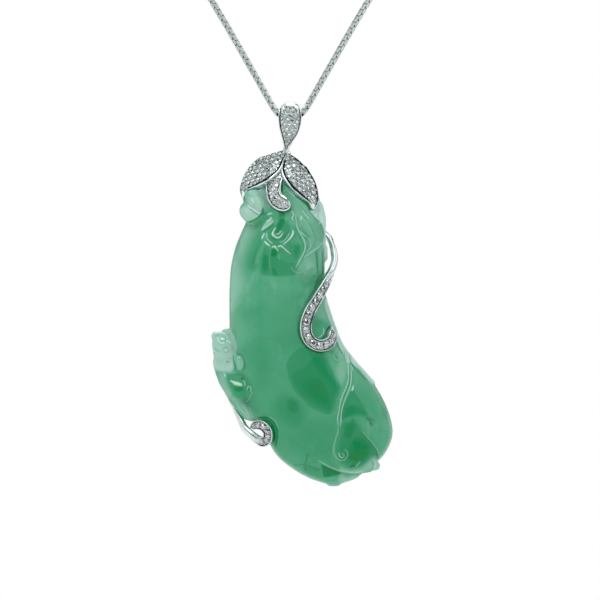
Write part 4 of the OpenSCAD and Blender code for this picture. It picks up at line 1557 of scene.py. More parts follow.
# Pale patches: the jade's own pale tone in places, and painted light: a painted glow where it is thin,
# painted highlights and painted light over shadow.
PALE_PATCHES = (
    # the bud and the top of the body; under the left leaf's edge, painted light over the leaf's shadow
    Patch(((247, 196), (246.6, 204), (240, 209), (240.4, 216), (246, 222), (254, 221), (262, 213),
          (262, 204), (258, 196)), 3.0, 0.72),
    Patch(((256, 186), (262, 210), (268, 208), (269, 186)), 3.5, 0.55),
    Patch(((248, 191), (252, 187), (258, 185), (258, 197), (249, 196)), 2.0, 0.62),
    Patch(((284, 190), (292, 204), (294, 222), (304, 232), (316, 240), (322, 236), (314, 216), (302, 200),
          (290, 186)), 5.0, 0.24),
    Patch(((300, 198), (308, 206), (312, 214), (320, 224), (324, 240), (316, 230), (306, 218), (298, 206)),
          4.0, 0.26),
    # the pale lobe, and the thin edge under it, with a painted glow where they are thin
    Patch(((317, 198), (313, 207), (310.6, 212.6), (314.6, 217.8), (320, 223), (323.4, 230), (324.6, 241),
          (330, 244), (329, 214), (325, 203)), 1.4, 0.95),
    Patch(((317.6, 212), (317, 219), (321, 224), (324.6, 232), (326.4, 224), (325, 213), (320.6, 208)),
          2.5, 1.0),
    Patch(((323.6, 238), (323.8, 250), (325, 262), (331, 262), (331, 238)), 1.6, 0.85),
    # the beast's head, its foreleg and its tail end
    Patch(((210, 328), (210, 350), (212, 366), (220, 371), (232, 371), (234, 362), (235.6, 354),
          (237.2, 347), (235.6, 339), (232.4, 332), (228, 326)), 2.0, 0.7),
    Patch(((236.4, 355), (235.6, 362), (238, 369), (242.4, 368), (243.6, 361), (241, 355)), 2.2, 0.36),
    Patch(((218, 371), (220, 384), (228, 398), (232, 394), (227, 382), (225, 373)), 3.0, 0.4),
    Patch(((229, 396), (233, 403), (240, 412), (248, 421), (254.6, 423), (253, 414), (246, 404),
          (238, 399)), 3.0, 0.45),
    # the body's left side, with a painted glow towards its edge
    Patch(((249, 222), (238, 240), (231, 258), (228, 276), (226, 310), (236, 308), (242, 286), (243, 262),
          (248, 242), (256, 226)), 8.0, 0.42),
    Patch(((231, 262), (228, 280), (228, 300), (238, 300), (244, 284), (240, 266)), 7.0, 0.4),
    Patch(((226, 300), (226, 330), (234, 350), (246, 344), (246, 320), (238, 304)), 9.0, 0.14),
    # the leaf's ground on the right
    Patch(((302, 240), (306, 248), (302, 258), (297, 268), (304, 276), (316, 272), (320, 256), (324, 244),
          (314, 236)), 4.0, 0.26),
    Patch(((304, 256), (303, 268), (310, 272), (314, 262), (310, 254)), 4.0, 0.36),
    # painted highlights in bands along the right edge
    Patch(((325, 298), (325, 306), (328, 316), (331.6, 326), (334.4, 333), (340, 333), (336, 322),
          (331, 308), (328.6, 298)), 0.9, 0.95),
    Patch(((312, 300), (318, 297), (326, 300), (330, 314), (332, 324), (322, 320), (314, 314)), 4.0, 0.3),
    Patch(((338.6, 340), (341, 346), (345, 352), (349.6, 358), (351, 362), (353.4, 359), (349.4, 352),
          (344.4, 344), (340.6, 338)), 0.9, 0.9),
    Patch(((366, 371), (371.4, 376), (374.6, 381), (377.4, 380.4), (372, 374), (367.6, 369.6)), 0.8, 0.9),
    Patch(((295, 262), (304, 266), (312, 276), (306, 284), (296, 276)), 5.0, 0.14),
    Patch(((334.4, 333), (336.2, 340), (339, 347.4), (341.4, 350.6), (347.4, 350), (344.4, 343),
          (340.2, 334)), 0.8, 1.0),
    Patch(((343.2, 350), (345.4, 356), (347.2, 362), (350, 362), (350, 355.4), (348, 350)), 0.8, 0.9),
    Patch(((350.2, 354), (351.4, 361), (354.4, 365), (359.8, 369.6), (364.2, 375), (368.8, 380), (373, 384),
          (376.4, 382), (371, 375), (364.6, 368), (357.8, 361), (352.6, 354.6)), 0.8, 1.0),
    Patch(((330, 347), (335, 351), (338, 360), (336, 372), (341, 384), (346, 376), (347, 362), (341, 350),
          (335, 342)), 4.0, 0.3),
    Patch(((352, 370), (362, 376), (372, 388), (382, 402), (376, 404), (364, 392), (353, 382)), 5.0, 0.08),
    Patch(((380, 400), (386, 412), (391, 428), (384, 430), (377, 416), (376, 404)), 5.0, 0.12),
    # the small melon's foot, with a painted highlight along its crease, the nub and the lower edge
    Patch(((340, 466), (350, 469), (362, 466), (368, 460), (374, 456), (376, 464), (366, 471), (352, 473),
          (342, 471)), 3.0, 0.45),
    Patch(((371.6, 459), (371, 466), (374, 471), (381, 470), (381, 459)), 1.5, 0.6),
    Patch(((373, 462.4), (372.8, 467), (376.4, 467), (377, 462.4)), 1.2, 0.85),
    Patch(((341, 473), (348, 476), (356, 473), (354, 480), (344, 483), (338, 480)), 3.0, 0.44),
    Patch(((324, 482), (328, 487), (340, 487), (344, 482)), 1.6, 0.5),
    Patch(((272, 452), (290, 464), (306, 474), (324, 481), (322, 485), (300, 478), (282, 466), (268, 452)),
          3.5, 0.36),
)
# Deep patches: the jade's deep green, with painted shade and painted dark reflections among them.
DEEP_PATCHES = (
    # the large patch, mostly a painted dark reflection over the jade's deep green: crisp all round, lighter
    # at its top left
    Patch(((299, 347), (292.4, 353), (288.6, 358), (286.6, 364), (287.6, 371), (289.4, 378), (293, 386.4),
          (298, 394), (304, 399.6), (308, 405), (318, 409.6), (329.4, 413.8), (334, 405.4), (337.6, 396),
          (340, 388), (339.6, 383), (335.8, 379), (333, 370), (328.6, 361), (323, 351), (311, 346)),
          0.9, 0.6),
    Patch(((304, 364), (291, 372), (294, 386), (306, 400), (329, 412), (337, 396), (338, 384), (330, 370),
          (326, 356), (316, 352)), 4.0, 0.85),
    Patch(((300, 376), (298, 388), (312, 402), (328, 408), (334, 400), (330, 386), (318, 372)), 7.0, 1.0),
    Patch(((314, 350), (313, 364), (318, 372), (325, 364), (324, 352)), 3.5, 0.82),
    # the patch right of the tendril, a painted dark reflection
    Patch(((350.4, 391), (353.2, 389.4), (356, 394), (360.4, 400), (364, 406), (366.4, 412), (368.4, 417.4),
          (364, 415.6), (358, 414.6), (353, 415), (348.6, 416.8), (341.8, 418.6), (341.6, 412), (343, 405),
          (346.4, 397.6)), 0.9, 0.55),
    Patch(((344, 406), (354, 403), (364, 408), (367, 415.4), (356, 414), (343, 417.4)), 2.6, 0.86),
    # the crown's dark ground: crisp left, below and right, fading upwards
    Patch(((262.6, 246), (261.4, 256), (261, 273), (270, 275.6), (280, 276.4), (290, 275.6), (297.6, 273),
          (299, 262), (298, 250), (290, 242), (276, 240), (266, 241)), 2.2, 0.42),
    Patch(((261.4, 258), (261, 273.2), (270, 275.6), (280, 276.4), (290, 275.6), (297, 273), (296, 262),
          (286, 262), (276, 256), (266, 254)), 1.4, 0.62),
    Patch(((263, 254), (262, 266), (264, 272), (268.4, 271), (268.6, 256)), 1.8, 0.85),
    Patch(((271.4, 248), (270.6, 256), (276, 257), (278, 250)), 1.6, 1.0),
    Patch(((271.4, 267), (272.4, 275), (279, 275.6), (275.6, 268)), 1.8, 0.9),
    Patch(((292, 245), (294, 260), (300, 258), (301, 246)), 3.4, 0.62),
    Patch(((279, 212), (278.6, 220), (276, 228), (274.4, 232.4), (278, 234), (281.4, 230), (284, 226),
          (285.2, 219), (283.6, 212)), 1.4, 0.95),
    Patch(((264, 214), (262, 222), (250, 224), (249, 232), (256, 230), (263, 224), (268, 218)), 3.0, 0.6),
    Patch(((269, 230), (268, 238), (272, 244), (280, 245), (288, 240), (291, 230), (286, 220), (276, 224)),
          3.0, 0.5),
    Patch(((261, 232), (254, 244), (248, 262), (252, 272), (260, 262), (264, 246)), 4.0, 0.4),
    Patch(((299, 270), (298, 280), (306, 286), (318, 284), (322, 276), (314, 276), (306, 270)), 4.0, 0.45),
    Patch(((316, 276), (319, 286), (323, 280), (322, 274)), 2.0, 0.7),
    # painted shade under the beast's haunch and in the hollow there, and a painted shadow round the hook's
    # head
    Patch(((226, 377), (232, 375), (241, 374), (248, 379), (249, 391), (244, 397), (236, 396), (229, 388)),
          4.0, 0.5),
    Patch(((234, 385.8), (242.6, 385.8), (243, 390.6), (235.4, 390.6)), 1.0, 1.0),
    Patch(((240, 380), (248, 384), (254, 396), (258, 410), (252, 404), (244, 392)), 5.0, 0.28),
    Patch(((256, 417.4), (264, 415.4), (271, 418), (276.6, 424), (278.4, 434), (276, 446), (274, 434),
          (270.6, 423), (262, 418.6)), 1.0, 0.9),
    # clouds in the middle and the lower half
    Patch(((285, 400), (290, 396), (298, 400), (300, 410), (294, 414), (286, 410)), 4.5, 0.85),
    Patch(((276, 398), (284, 394), (302, 404), (306, 418), (298, 430), (284, 422), (274, 410)), 9.0, 0.55),
    Patch(((252, 356), (256, 344), (268, 350), (270, 366), (262, 388), (252, 376)), 10.0, 0.3),
    Patch(((276, 336), (300, 330), (306, 345), (292, 352), (278, 350)), 9.0, 0.25),
    Patch(((300, 418), (320, 416), (336, 420), (336, 450), (322, 462), (300, 452), (288, 436)), 12.0, 0.34),
    Patch(((328, 424), (334, 424), (334, 460), (345, 466), (330, 466), (322, 452)), 5.0, 0.35),
    # the small melon
    Patch(((342, 422), (352, 420), (360, 424), (366, 436), (374, 447), (376.6, 455), (368, 462), (354, 466),
          (341, 462), (337, 448), (340, 436)), 4.5, 0.78),
    Patch(((344, 422), (354, 420), (356, 432), (348, 440), (342, 434)), 4.0, 1.0),
    Patch(((352, 434), (364, 434), (373, 446), (371, 456), (362, 463), (348, 462), (344, 450)), 6.0, 1.0),
    # painted shade under its crease
    Patch(((321, 462), (330, 466.8), (341.4, 471.6), (338, 474), (332, 475.4), (324, 476.4), (322, 470)),
          1.4, 1.0),
    Patch(((308, 464), (322, 468), (322, 478), (312, 476), (304, 468)), 4.0, 0.4),
)
OLIVE_PATCHES = (
    Patch(((356, 447), (360, 444.6), (364.6, 447), (364.8, 454), (361, 459), (355, 462), (350, 459),
          (350, 454)), 2.6, 0.8),
    Patch(((344.4, 451.6), (346.6, 451.6), (346.6, 454.6), (344.4, 454.6)), 1.2, 0.6),
    Patch(((323, 463), (330, 466.6), (341, 471.4), (334, 472), (326, 469.4)), 1.8, 0.85),
    Patch(((310, 382), (318, 380), (324, 388), (322, 398), (312, 396)), 5.0, 0.22),
    Patch(((289, 400), (294, 399), (296, 405), (291, 408)), 3.0, 0.25),
)
VEINS = (
    Stroke(((307.6, 453.4), (306.6, 458), (305.2, 463.6), (305.8, 469.4)), 0.9, 0, 0.42),
    Stroke(((294.4, 464.6), (300, 463.8), (305, 463.2)), 0.8, 0, 0.32),
    Stroke(((307, 464.4), (312, 466.4), (319, 468.6)), 0.8, 0, 0.34),
    Stroke(((308.6, 462.6), (313, 461.8), (318, 460.6)), 0.7, 0, 0.2),
    Stroke(((367, 417.4), (369.4, 419.4), (371, 423.2)), 1.1, 0, 0.6),
    Stroke(((369.4, 416.6), (373.6, 419.6)), 1.0, 0, 0.4),
    Stroke(((371, 423.4), (372.2, 423.6)), 1.0, 0, 0.5),
    Stroke(((350.4, 465.8), (352.4, 464.4), (354.4, 464.6)), 0.9, 0, 0.7),
    Stroke(((352, 417.4), (352.8, 420)), 0.8, 0, 0.4),
    Stroke(((242.2, 377.4), (242.6, 378.2)), 0.9, 0, 0.8),
    Stroke(((295.4, 428), (294.8, 428.4)), 0.5, 0, 0.1),
)


class Jade:
    """The carved melon with its bud, folds, tendrils, small melon and beast."""

    voxel = 0.218
    section_power = 2.2
    melon_rings, melon_sides = 110, 72
    bulge_limit = 0.99
    tendril_share = 0.7
    thinnest = 0.08
    ridge_shift = 1.4
    soft_rounds, haunch_rounds = 3, 30
    # The beast's hind part on the chart, which flows into the melon: across and down
    haunch_across, haunch_down = (-74, -28), (200, 258)
    # Widths of a carved line, as shares of its own: drawn, reached, and the groove on each side
    stroke_share, stroke_reach, refined = 0.8, 3.4, 2.2
    groove_place, groove_width = 1.9, 0.8
    # How soon the carving fades round the side
    facing_gain = 2.2
    # Shares of a line's height: the groove beside it, a plain cut, and what is left at its ends
    groove_share, cut_share, end_share = 0.4, 0.6, 0.35
    # How strongly lines colour the skin: painted highlights, painted shade in grooves and in cuts, and the
    # most of that shade
    gleam_share, groove_tone, cut_tone, deepest_tone = 0.85, 1.6, 4.5, 0.8
    sunk_reach = 3.2
    # The thin edge's painted glow: where it rises and falls in shares of the half width, and how pale it
    # paints the edge
    edge_rise, edge_fall, edge_pale = (0.9, 1.0), (1.02, 1.1), 0.34
    # Where the beast lies on that edge: its top, its foot and its inner side on the chart
    beast_top, beast_foot, beast_side = (150, 162), (246, 262), (-40, -30)
    # Where colour ends round the side, the least paleness and how much of it the painted shade of a groove
    # takes away
    front_only, least_pale, groove_dulls = (-0.25, 0.15), 0.05, 0.85

    def __init__(self, finish: bpy.types.Material) -> None:
        """Keeps the finish and the track of the melon's rows."""
        self.finish = finish
        self.curve = Curve(BODY)
        places = np.linspace(0, len(BODY) - 1, 241)
        self.track = (self.curve.at(places)[:, 0], places)

    def rows_at(self, down: np.ndarray) -> np.ndarray:
        """The melon's left edge, right edge and depth at heights on the chart."""
        return self.curve.at(np.interp(down, *self.track))

    def sideways(self, across: np.ndarray, down: np.ndarray) -> tuple[np.ndarray, np.ndarray]:
        """How far out places are, 1 on the melon's edge, and its depth at their height."""
        row = self.rows_at(down)
        mid, half = (row[:, 1] + row[:, 2]) / 2, (row[:, 2] - row[:, 1]) / 2
        return np.abs(across - mid) / half, row[:, 3]

    def bulge(self, across: np.ndarray, down: np.ndarray) -> np.ndarray:
        """Depth of the melon's front at places on the chart.

        Args:
            across: Steps across.
            down: Steps down.

        Returns:
            Hundredths of the bulge.
        """
        out, depth = self.sideways(across, down)
        u = np.minimum(self.bulge_limit, out)
        return depth * (1 - u**self.section_power) ** (1 / self.section_power)

    def draw_melon(self, bm: BMesh) -> None:
        """Adds the large melon."""
        power = 2 / self.section_power
        rings = []
        for down, left, right, share in self.curve.samples(self.melon_rings):
            mid, half = (left + right) / 2, (right - left) / 2
            ring = []
            for k in range(self.melon_sides):
                turn = 2 * math.pi * k / self.melon_sides
                c, s = math.cos(turn), math.sin(turn)
                across = mid + half * math.copysign(abs(c) ** power, c)
                ring.append(CHART.place(across, down, share * math.copysign(abs(s) ** power, s)))
            rings.append(ring)
        loft(bm, rings)

    def draw_small_melon(self, bm: BMesh) -> None:
        """Adds the small melon over the lower right."""
        rows = Curve(SMALL_MELON).samples(40)
        path = [CHART.place(*p[:3]) for p in rows]
        for point in path:
            point.y /= SMALL_MELON_FLAT
        before = set(bm.verts)
        round_tube(bm, path, [CHART.across(max(1, p[3])) for p in rows], 40)
        fresh = [v for v in bm.verts if v not in before]
        bmesh.ops.scale(bm, verts=fresh, vec=(1, SMALL_MELON_FLAT, 1))

    def draw_lumps(self, bm: BMesh) -> None:
        """Adds the beast, the buds and the blossom ends."""
        for start, end, r_start, r_end in BEAST + BUDS:
            pill(bm, CHART.place(*start), CHART.place(*end), r_start, r_end)

    def draw_tendrils(self, bm: BMesh) -> None:
        """Adds the tendrils and the ridge along the right edge."""
        for rows in TENDRILS:
            made = Curve(rows).samples(5 * len(rows))
            depth = self.bulge(made[:, 0], made[:, 1])
            lifts = made[:, 3] if made.shape[1] > 3 else np.zeros(len(made))
            path = [
                CHART.place(a, d, share) + FRONT * lift
                for a, d, share, lift in zip(made[:, 0], made[:, 1], depth, lifts)
            ]
            radii = [max(self.thinnest, w * self.tendril_share / 2) for w in made[:, 2]]
            round_tube(bm, path, radii, 10)
        ridge = Curve(EDGE_RIDGE).samples(40)
        path = [CHART.place(p[0] + self.ridge_shift, p[1], p[2]) for p in ridge]
        round_tube(bm, path, [p[3] / 2 for p in ridge], 12)

    def fuse(self) -> bpy.types.Mesh:
        """Joins the carving's forms into one skin.

        Returns:
            The mesh, in millimetres.
        """
        bm = bmesh.new()
        self.draw_melon(bm)
        self.draw_small_melon(bm)
        self.draw_lumps(bm)
        self.draw_tendrils(bm)
        rough = closed_mesh(bm, "rough_jade")
        block = new_object("rough_jade", rough)
        remesh = block.modifiers.new("fuse", "REMESH")
        remesh.mode, remesh.voxel_size, remesh.adaptivity = "VOXEL", self.voxel, 0.0
        graph = bpy.context.evaluated_depsgraph_get()
        graph.update()
        fused = bpy.data.meshes.new_from_object(block.evaluated_get(graph))
        bpy.data.objects.remove(block)
        bpy.data.meshes.remove(rough)
        bm = bmesh.new()
        bm.from_mesh(fused)
        haunch = [v for v in bm.verts if self.on_haunch(v.co)]
        axes = {f"use_axis_{axis}": True for axis in "xyz"}
        for verts, rounds in ((bm.verts, self.soft_rounds), (haunch, self.haunch_rounds)):
            for _ in range(rounds):
                bmesh.ops.smooth_vert(bm, verts=verts, factor=0.5, **axes)
        return keep(bm, fused)

    def on_haunch(self, place: Vector) -> bool:
        """Whether a place is on the front of the beast's hind part."""
        across, down = place.x / CHART.step_x, (CHART.top - place.z) / CHART.step_z
        (left, right), (high, low) = self.haunch_across, self.haunch_down
        return place.y < CHART.set_back and left < across < right and high < down < low

    @staticmethod
    def read(mesh: bpy.types.Mesh) -> tuple[np.ndarray, np.ndarray]:
        """The vertices' places and normals."""
        size = len(mesh.vertices)
        places, normals = np.empty(size * 3, np.float32), np.empty(size * 3, np.float32)
        mesh.vertices.foreach_get("co", places)
        mesh.vertex_normals.foreach_get("vector", normals)
        return places.reshape(-1, 3).astype(float), normals.reshape(-1, 3).astype(float)

    @staticmethod
    def chart_of(places: np.ndarray) -> np.ndarray:
        """Each vertex's place on the chart."""
        across, down = places[:, 0] / CHART.step_x, (CHART.top - places[:, 2]) / CHART.step_z
        return np.stack([across, down], axis=1)

    @staticmethod
    def write(mesh: bpy.types.Mesh, places: np.ndarray) -> None:
        """Moves the vertices to new places."""
        mesh.vertices.foreach_set("co", places.astype(np.float32).ravel())
        mesh.update()

    def refine(self, mesh: bpy.types.Mesh) -> None:
        """Halves the faces along the carved lines, so that these can be thin.

        Args:
            mesh: The fused mesh.
        """
        places, normals = self.read(mesh)
        spots = self.chart_of(places)
        close = np.zeros(len(spots), bool)
        for stroke in CARVING:
            gap, wide, _ = stroke.spread(spots, self.refined)
            close |= (gap < wide * self.refined) & (normals[:, 1] < 0.1)
        bm = bmesh.new()
        bm.from_mesh(mesh)
        bm.verts.ensure_lookup_table()
        edges = {e for f in bm.faces if all(close[v.index] for v in f.verts) for e in f.edges}
        bmesh.ops.subdivide_edges(bm, edges=list(edges), cuts=1, use_grid_fill=True, smooth=0.0)
        keep(bm, mesh).update()

    def carve(self, mesh: bpy.types.Mesh) -> dict[str, np.ndarray]:
        """Cuts the lines of the carving into the front, each ridge with a groove on both sides.

        Args:
            mesh: The fused mesh.

        Returns:
            How pale, how much painted highlight and how much painted shade each vertex takes along the
            lines.
        """
        places, normals = self.read(mesh)
        spots = self.chart_of(places)
        facing = np.clip(-normals[:, 1] * self.facing_gain, 0, 1)
        relief, pale, gleam, deep = (np.zeros(len(spots)) for _ in range(4))
        for stroke in CARVING:
            gap, wide, full = stroke.spread(spots, self.stroke_reach)
            wide = wide * self.stroke_share
            strength = self.end_share + (1 - self.end_share) * full
            core = np.exp(-((gap / wide) ** 2)) * strength
            off = (gap - self.groove_place * wide) / (self.groove_width * wide)
            beside = np.exp(-(off**2)) * strength
            height = stroke.height if stroke.height > 0 else self.cut_share * stroke.height
            relief += height * (core - self.groove_share * beside) * facing
            # ridges are painted pale and with painted highlights; the grooves beside them and the cuts take
            # painted shade in the deep green
            if stroke.height > 0:
                pale = np.maximum(pale, stroke.pale * core * facing)
                gleam = np.maximum(gleam, self.gleam_share * stroke.gleam * core * facing)
                deep = np.maximum(deep, self.groove_tone * stroke.height * beside * full * facing)
            else:
                deep = np.maximum(deep, -self.cut_tone * stroke.height * core * full * facing)
        self.write(mesh, places + normals * relief[:, None])
        return {"pale": pale, "gleam": gleam, "deep": np.clip(deep, 0, self.deepest_tone)}

    def let_in(self, mesh: bpy.types.Mesh, bands: Sequence[Band], gap: float = 0.1) -> None:
        """Sinks the jade under each band, so that the metal lies in it with a small space.

        Args:
            mesh: The carved mesh.
            bands: The bands.
            gap: The space.
        """
        places, _ = self.read(mesh)
        for band in bands:
            for i in range(len(band.stations) - 1):
                station, (heading, side, out) = band.stations[i], band.frame_at(i)
                length = (band.stations[i + 1].middle - station.middle).length
                away = places - np.array(station.middle)
                u, v, n = away @ np.array(heading), away @ np.array(side), away @ np.array(out)
                sunk = n + station.sag * (v / station.half) ** 2 + gap
                covered = (np.abs(v) < station.half + gap) & (u > -gap) & (u < length + gap)
                under = covered & (sunk > 0) & (sunk < self.sunk_reach)
                places[under] -= sunk[under, None] * np.array(out)
        self.write(mesh, places)

    def tint(self, mesh: bpy.types.Mesh, lines: dict[str, np.ndarray]) -> None:
        """Paints the masks that the finish reads, among them painted glow, painted highlights and painted
        shade.

        Args:
            mesh: The carved mesh.
            lines: How pale, how much painted highlight and how much painted shade each vertex takes along
                the carved lines.
        """
        places, normals = self.read(mesh)
        spots = self.chart_of(places)
        front = smooth(-normals[:, 1], *self.front_only)
        across, down = spots[:, 0], spots[:, 1]
        edge, _ = self.sideways(across, down)
        # a painted glow along the melon's thin edge
        thin = smooth(edge, *self.edge_rise) * (1 - smooth(edge, *self.edge_fall)) * self.edge_pale
        # the melon is not thin, so it gets no painted glow, where the beast lies on its edge
        beast = smooth(down, *self.beast_top) * (1 - smooth(down, *self.beast_foot))
        thin *= 1 - beast * (1 - smooth(across, *self.beast_side))
        masks = {"gleam": lines["gleam"], "vein": np.zeros(len(spots))}
        tables = (("deep", DEEP_PATCHES), ("olive", OLIVE_PATCHES), ("pale", PALE_PATCHES))
        for name, patches in tables:
            value = thin.copy() if name == "pale" else np.zeros(len(spots))
            for shape in patches:
                value = np.maximum(value, shape.strength * smooth(shape.inside(spots), 0, 1) * front)
            masks[name] = value
        pale = np.maximum(masks["pale"], self.least_pale * (1 - masks["deep"]))
        # the painted shade of the grooves dulls the paleness
        masks["pale"] = pale * (1 - self.groove_dulls * lines["deep"])
        for name in ("pale", "deep"):
            masks[name] = np.clip(np.maximum(masks[name], lines[name]), 0, 1)
        for stroke in VEINS:
            gap, wide, _ = stroke.spread(spots, 3)
            masks["vein"] = np.maximum(masks["vein"], stroke.pale * np.exp(-((gap / wide) ** 2)) * front)
        for name, value in masks.items():
            layer = mesh.attributes.new(name, "FLOAT", "POINT")
            layer.data.foreach_set("value", value.astype(np.float32))

    def make(self, bands: Sequence[Band]) -> None:
        """Makes the jade.

        Args:
            bands: The bands of metal that lie in it.
        """
        mesh = self.fuse()
        self.refine(mesh)
        lines = self.carve(mesh)
        self.let_in(mesh, bands)
        self.tint(mesh, lines)
        piece = hand_over(mesh, "carved_jade", Body.PENDANT, Slot.JADE, self.finish, 180)
        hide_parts("jade")


# Chain


# Half the loop, from the bail to the nape: shares of its half width, of its depth and of its height
ROUTE = [
    [0, 0, 0], [0.014, 0, 0.0005], [0.028, 0.0005, 0.0025], [0.041, 0.002, 0.0085], [0.058, 0.0065, 0.022],
    [0.11, 0.028, 0.068], [0.23, 0.079, 0.172], [0.49, 0.18, 0.385], [0.75, 0.28, 0.6],
    [0.915, 0.375, 0.755], [0.995, 0.49, 0.865], [0.985, 0.645, 0.935], [0.83, 0.82, 0.975],
    [0.56, 0.935, 0.995], [0.28, 0.985, 1],
]


@dataclass
class BoxChain:
    """The whole loop of square links, from one small end loop at the nape to the other."""

    half_loop: float = 59.8
    back: float = -NECK_TO_BAIL.y
    up: float = -NECK_TO_BAIL.z
    length: float = 1.17
    width: float = 1.15
    strap: float = 0.62
    wire: float = 0.24
    pitch: float = 0.67
    end_x: float = 4.2
    first: float = 0.545
    roll: float = 45.0
    corner: float = 0.14
    rim: float = 0.05
    loop_wire: float = 0.14
    loop_radius: float = 0.44
    loop_x: float = 3.86
    loop_stretch: float = 1.2
    steps = 2400

    def box_link(self) -> bpy.types.Mesh:
        """One square link, along Z, with a softened outside."""
        bm = bmesh.new()
        shape = Matrix.Diagonal((self.width, self.strap, self.length, 1))
        bmesh.ops.create_cube(bm, size=1, matrix=shape)
        flats = [f for f in bm.faces if abs(f.normal.y) > 0.9]
        bmesh.ops.inset_individual(bm, faces=flats, thickness=self.wire, use_even_offset=True)
        inner = [e for f in flats for e in f.edges]
        bmesh.ops.delete(bm, geom=flats, context="FACES_ONLY")
        bmesh.ops.bridge_loops(bm, edges=inner)
        reach = (self.width / 2 - 0.01, self.length / 2 - 0.01)
        outer = {v for v in bm.verts if abs(v.co.x) > reach[0] and abs(v.co.z) > reach[1]}
        bevel(bm, [e for e in bm.edges if outer.issuperset(e.verts)], self.corner)
        bevel(bm, [e for e in bm.edges if self.is_rim(e)], self.rim)
        return closed_mesh(bm, "box_link")

    def is_rim(self, edge: BMEdge) -> bool:
        """Whether an edge runs round the link's outside."""
        flat = all(abs(abs(v.co.y) - self.strap / 2) < 1e-4 for v in edge.verts)
        margin = self.corner + 0.02
        outer = all(
            abs(v.co.x) > self.width / 2 - margin and abs(v.co.x) > self.wire
            or abs(v.co.z) > self.length / 2 - margin
            for v in edge.verts
        )
        return flat and outer and any(abs(f.normal.y) < 0.5 for f in edge.link_faces)

    def half_path(self) -> np.ndarray:
        """Close points from the bail to the nape, on the wearer's left."""
        rows = [[p[0] * self.half_loop, p[1] * self.back, p[2] * self.up] for p in ROUTE]
        return Curve(rows + [[self.end_x, self.back, self.up]]).samples(self.steps)

    def places(self) -> list[Matrix]:
        """Works out where each link is and how it is turned.

        Returns:
            One matrix for each link, from the nape's left round to its right.
        """
        half = self.half_path()[::-1]
        other = half[::-1][1:] * (-1, 1, 1)
        path = np.vstack([half, other])
        run = np.concatenate([[0], np.cumsum(np.linalg.norm(np.diff(path, axis=0), axis=1))])
        total = run[-1]
        count = 2 * round((total - 2 * self.first) / self.pitch / 2)
        spots = np.linspace(self.first, total - self.first, count + 1)
        middle = count // 2
        frames = self.turned([self.point_at(path, run, s) for s in spots[: middle + 1]])
        made = []
        for k, (spot, heading, side) in enumerate(frames):
            made.append(self.matrix(spot, heading, side, k))
        flip = Vector((-1, 1, 1))
        for k in range(middle - 1, -1, -1):
            made.append(self.matrix(*(part * flip for part in frames[k]), k))
        LOG.info("chain: %d links, %.3f mm apart, on %.1f mm", count + 1, spots[1] - spots[0], total)
        return made

    @staticmethod
    def point_at(path: np.ndarray, run: np.ndarray, s: float) -> tuple[Vector, Vector]:
        """A point of the path and the way it heads there."""
        here, ahead, behind = (
            Vector([float(np.interp(place, run, path[:, k])) for k in range(3)])
            for place in (s, s + 0.2, s - 0.2)
        )
        return here, (ahead - behind).normalized()

    def turned(self, points: list[tuple[Vector, Vector]]) -> list[tuple[Vector, Vector, Vector]]:
        """Carries a side direction along half the chain with an even, slow twist.

        Args:
            points: Places and headings from the nape to the bail.

        Returns:
            Places, headings and sides.
        """
        side = Vector((0, 1, 0))
        carried = []
        for _, heading in points:
            side = (side - heading * side.dot(heading)).normalized()
            carried.append(side)
        heading = points[-1][1]
        wanted = Matrix.Rotation(math.radians(self.roll), 3, heading) @ Vector((0, 1, 0))
        wanted = (wanted - heading * wanted.dot(heading)).normalized()
        twist = math.atan2(heading.dot(side.cross(wanted)), side.dot(wanted))
        quarter = math.pi / 2
        twist -= quarter * round(twist / quarter)
        last = len(points) - 1
        return [
            (spot, way, Matrix.Rotation(twist * i / last, 3, way) @ lean)
            for i, ((spot, way), lean) in enumerate(zip(points, carried))
        ]

    @staticmethod
    def matrix(spot: Vector, heading: Vector, side: Vector, k: int) -> Matrix:
        """The place of link k: each is a quarter turn on from the last."""
        third = heading.cross(side).normalized()
        x, y = (side, third) if k % 2 == 0 else (third, side)
        return Matrix.Translation(spot) @ turn_to(x, y, heading)

    def end_loop(self, bm: BMesh, way: int) -> None:
        """Adds the small loop that joins the last link to the clasp's link.

        Args:
            bm: The chain's mesh.
            way: 1 on the wearer's left and -1 on the right.
        """
        start = Vector((self.loop_radius, 0, 0))
        upright = Matrix.Rotation(math.pi / 2, 3, "X")
        place = Matrix.Translation(start)
        ring = bmesh.ops.create_circle(bm, segments=8, radius=self.loop_wire, matrix=place)["verts"]
        edges = list({e for v in ring for e in v.link_edges})
        bmesh.ops.rotate(bm, verts=ring, cent=start, matrix=upright)
        bmesh.ops.spin(
            bm, geom=ring + edges, cent=(0, 0, 0), axis=(0, 0, 1), angle=2 * math.pi, steps=20,
            use_merge=True, use_duplicate=False,
        )
        loop = [v for v in bm.verts if v.co.length < 1]
        bmesh.ops.rotate(bm, verts=loop, cent=(0, 0, 0), matrix=upright)
        bmesh.ops.scale(bm, verts=loop, vec=(self.loop_stretch, 1, 1))
        bmesh.ops.translate(bm, verts=loop, vec=Vector((way * self.loop_x, self.back, self.up)))

    def make(self, finish: bpy.types.Material) -> None:
        """Makes the chain.

        Args:
            finish: Its metal.
        """
        bm = bmesh.new()
        self.end_loop(bm, 1)
        self.end_loop(bm, -1)
        stamp(bm, self.box_link(), self.places())
        bmesh.ops.remove_doubles(bm, verts=bm.verts, dist=1e-5)
        piece = from_bmesh(bm, "box_chain", Body.NECKLACE, Slot.CHAIN, finish, 30)
        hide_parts("chain")


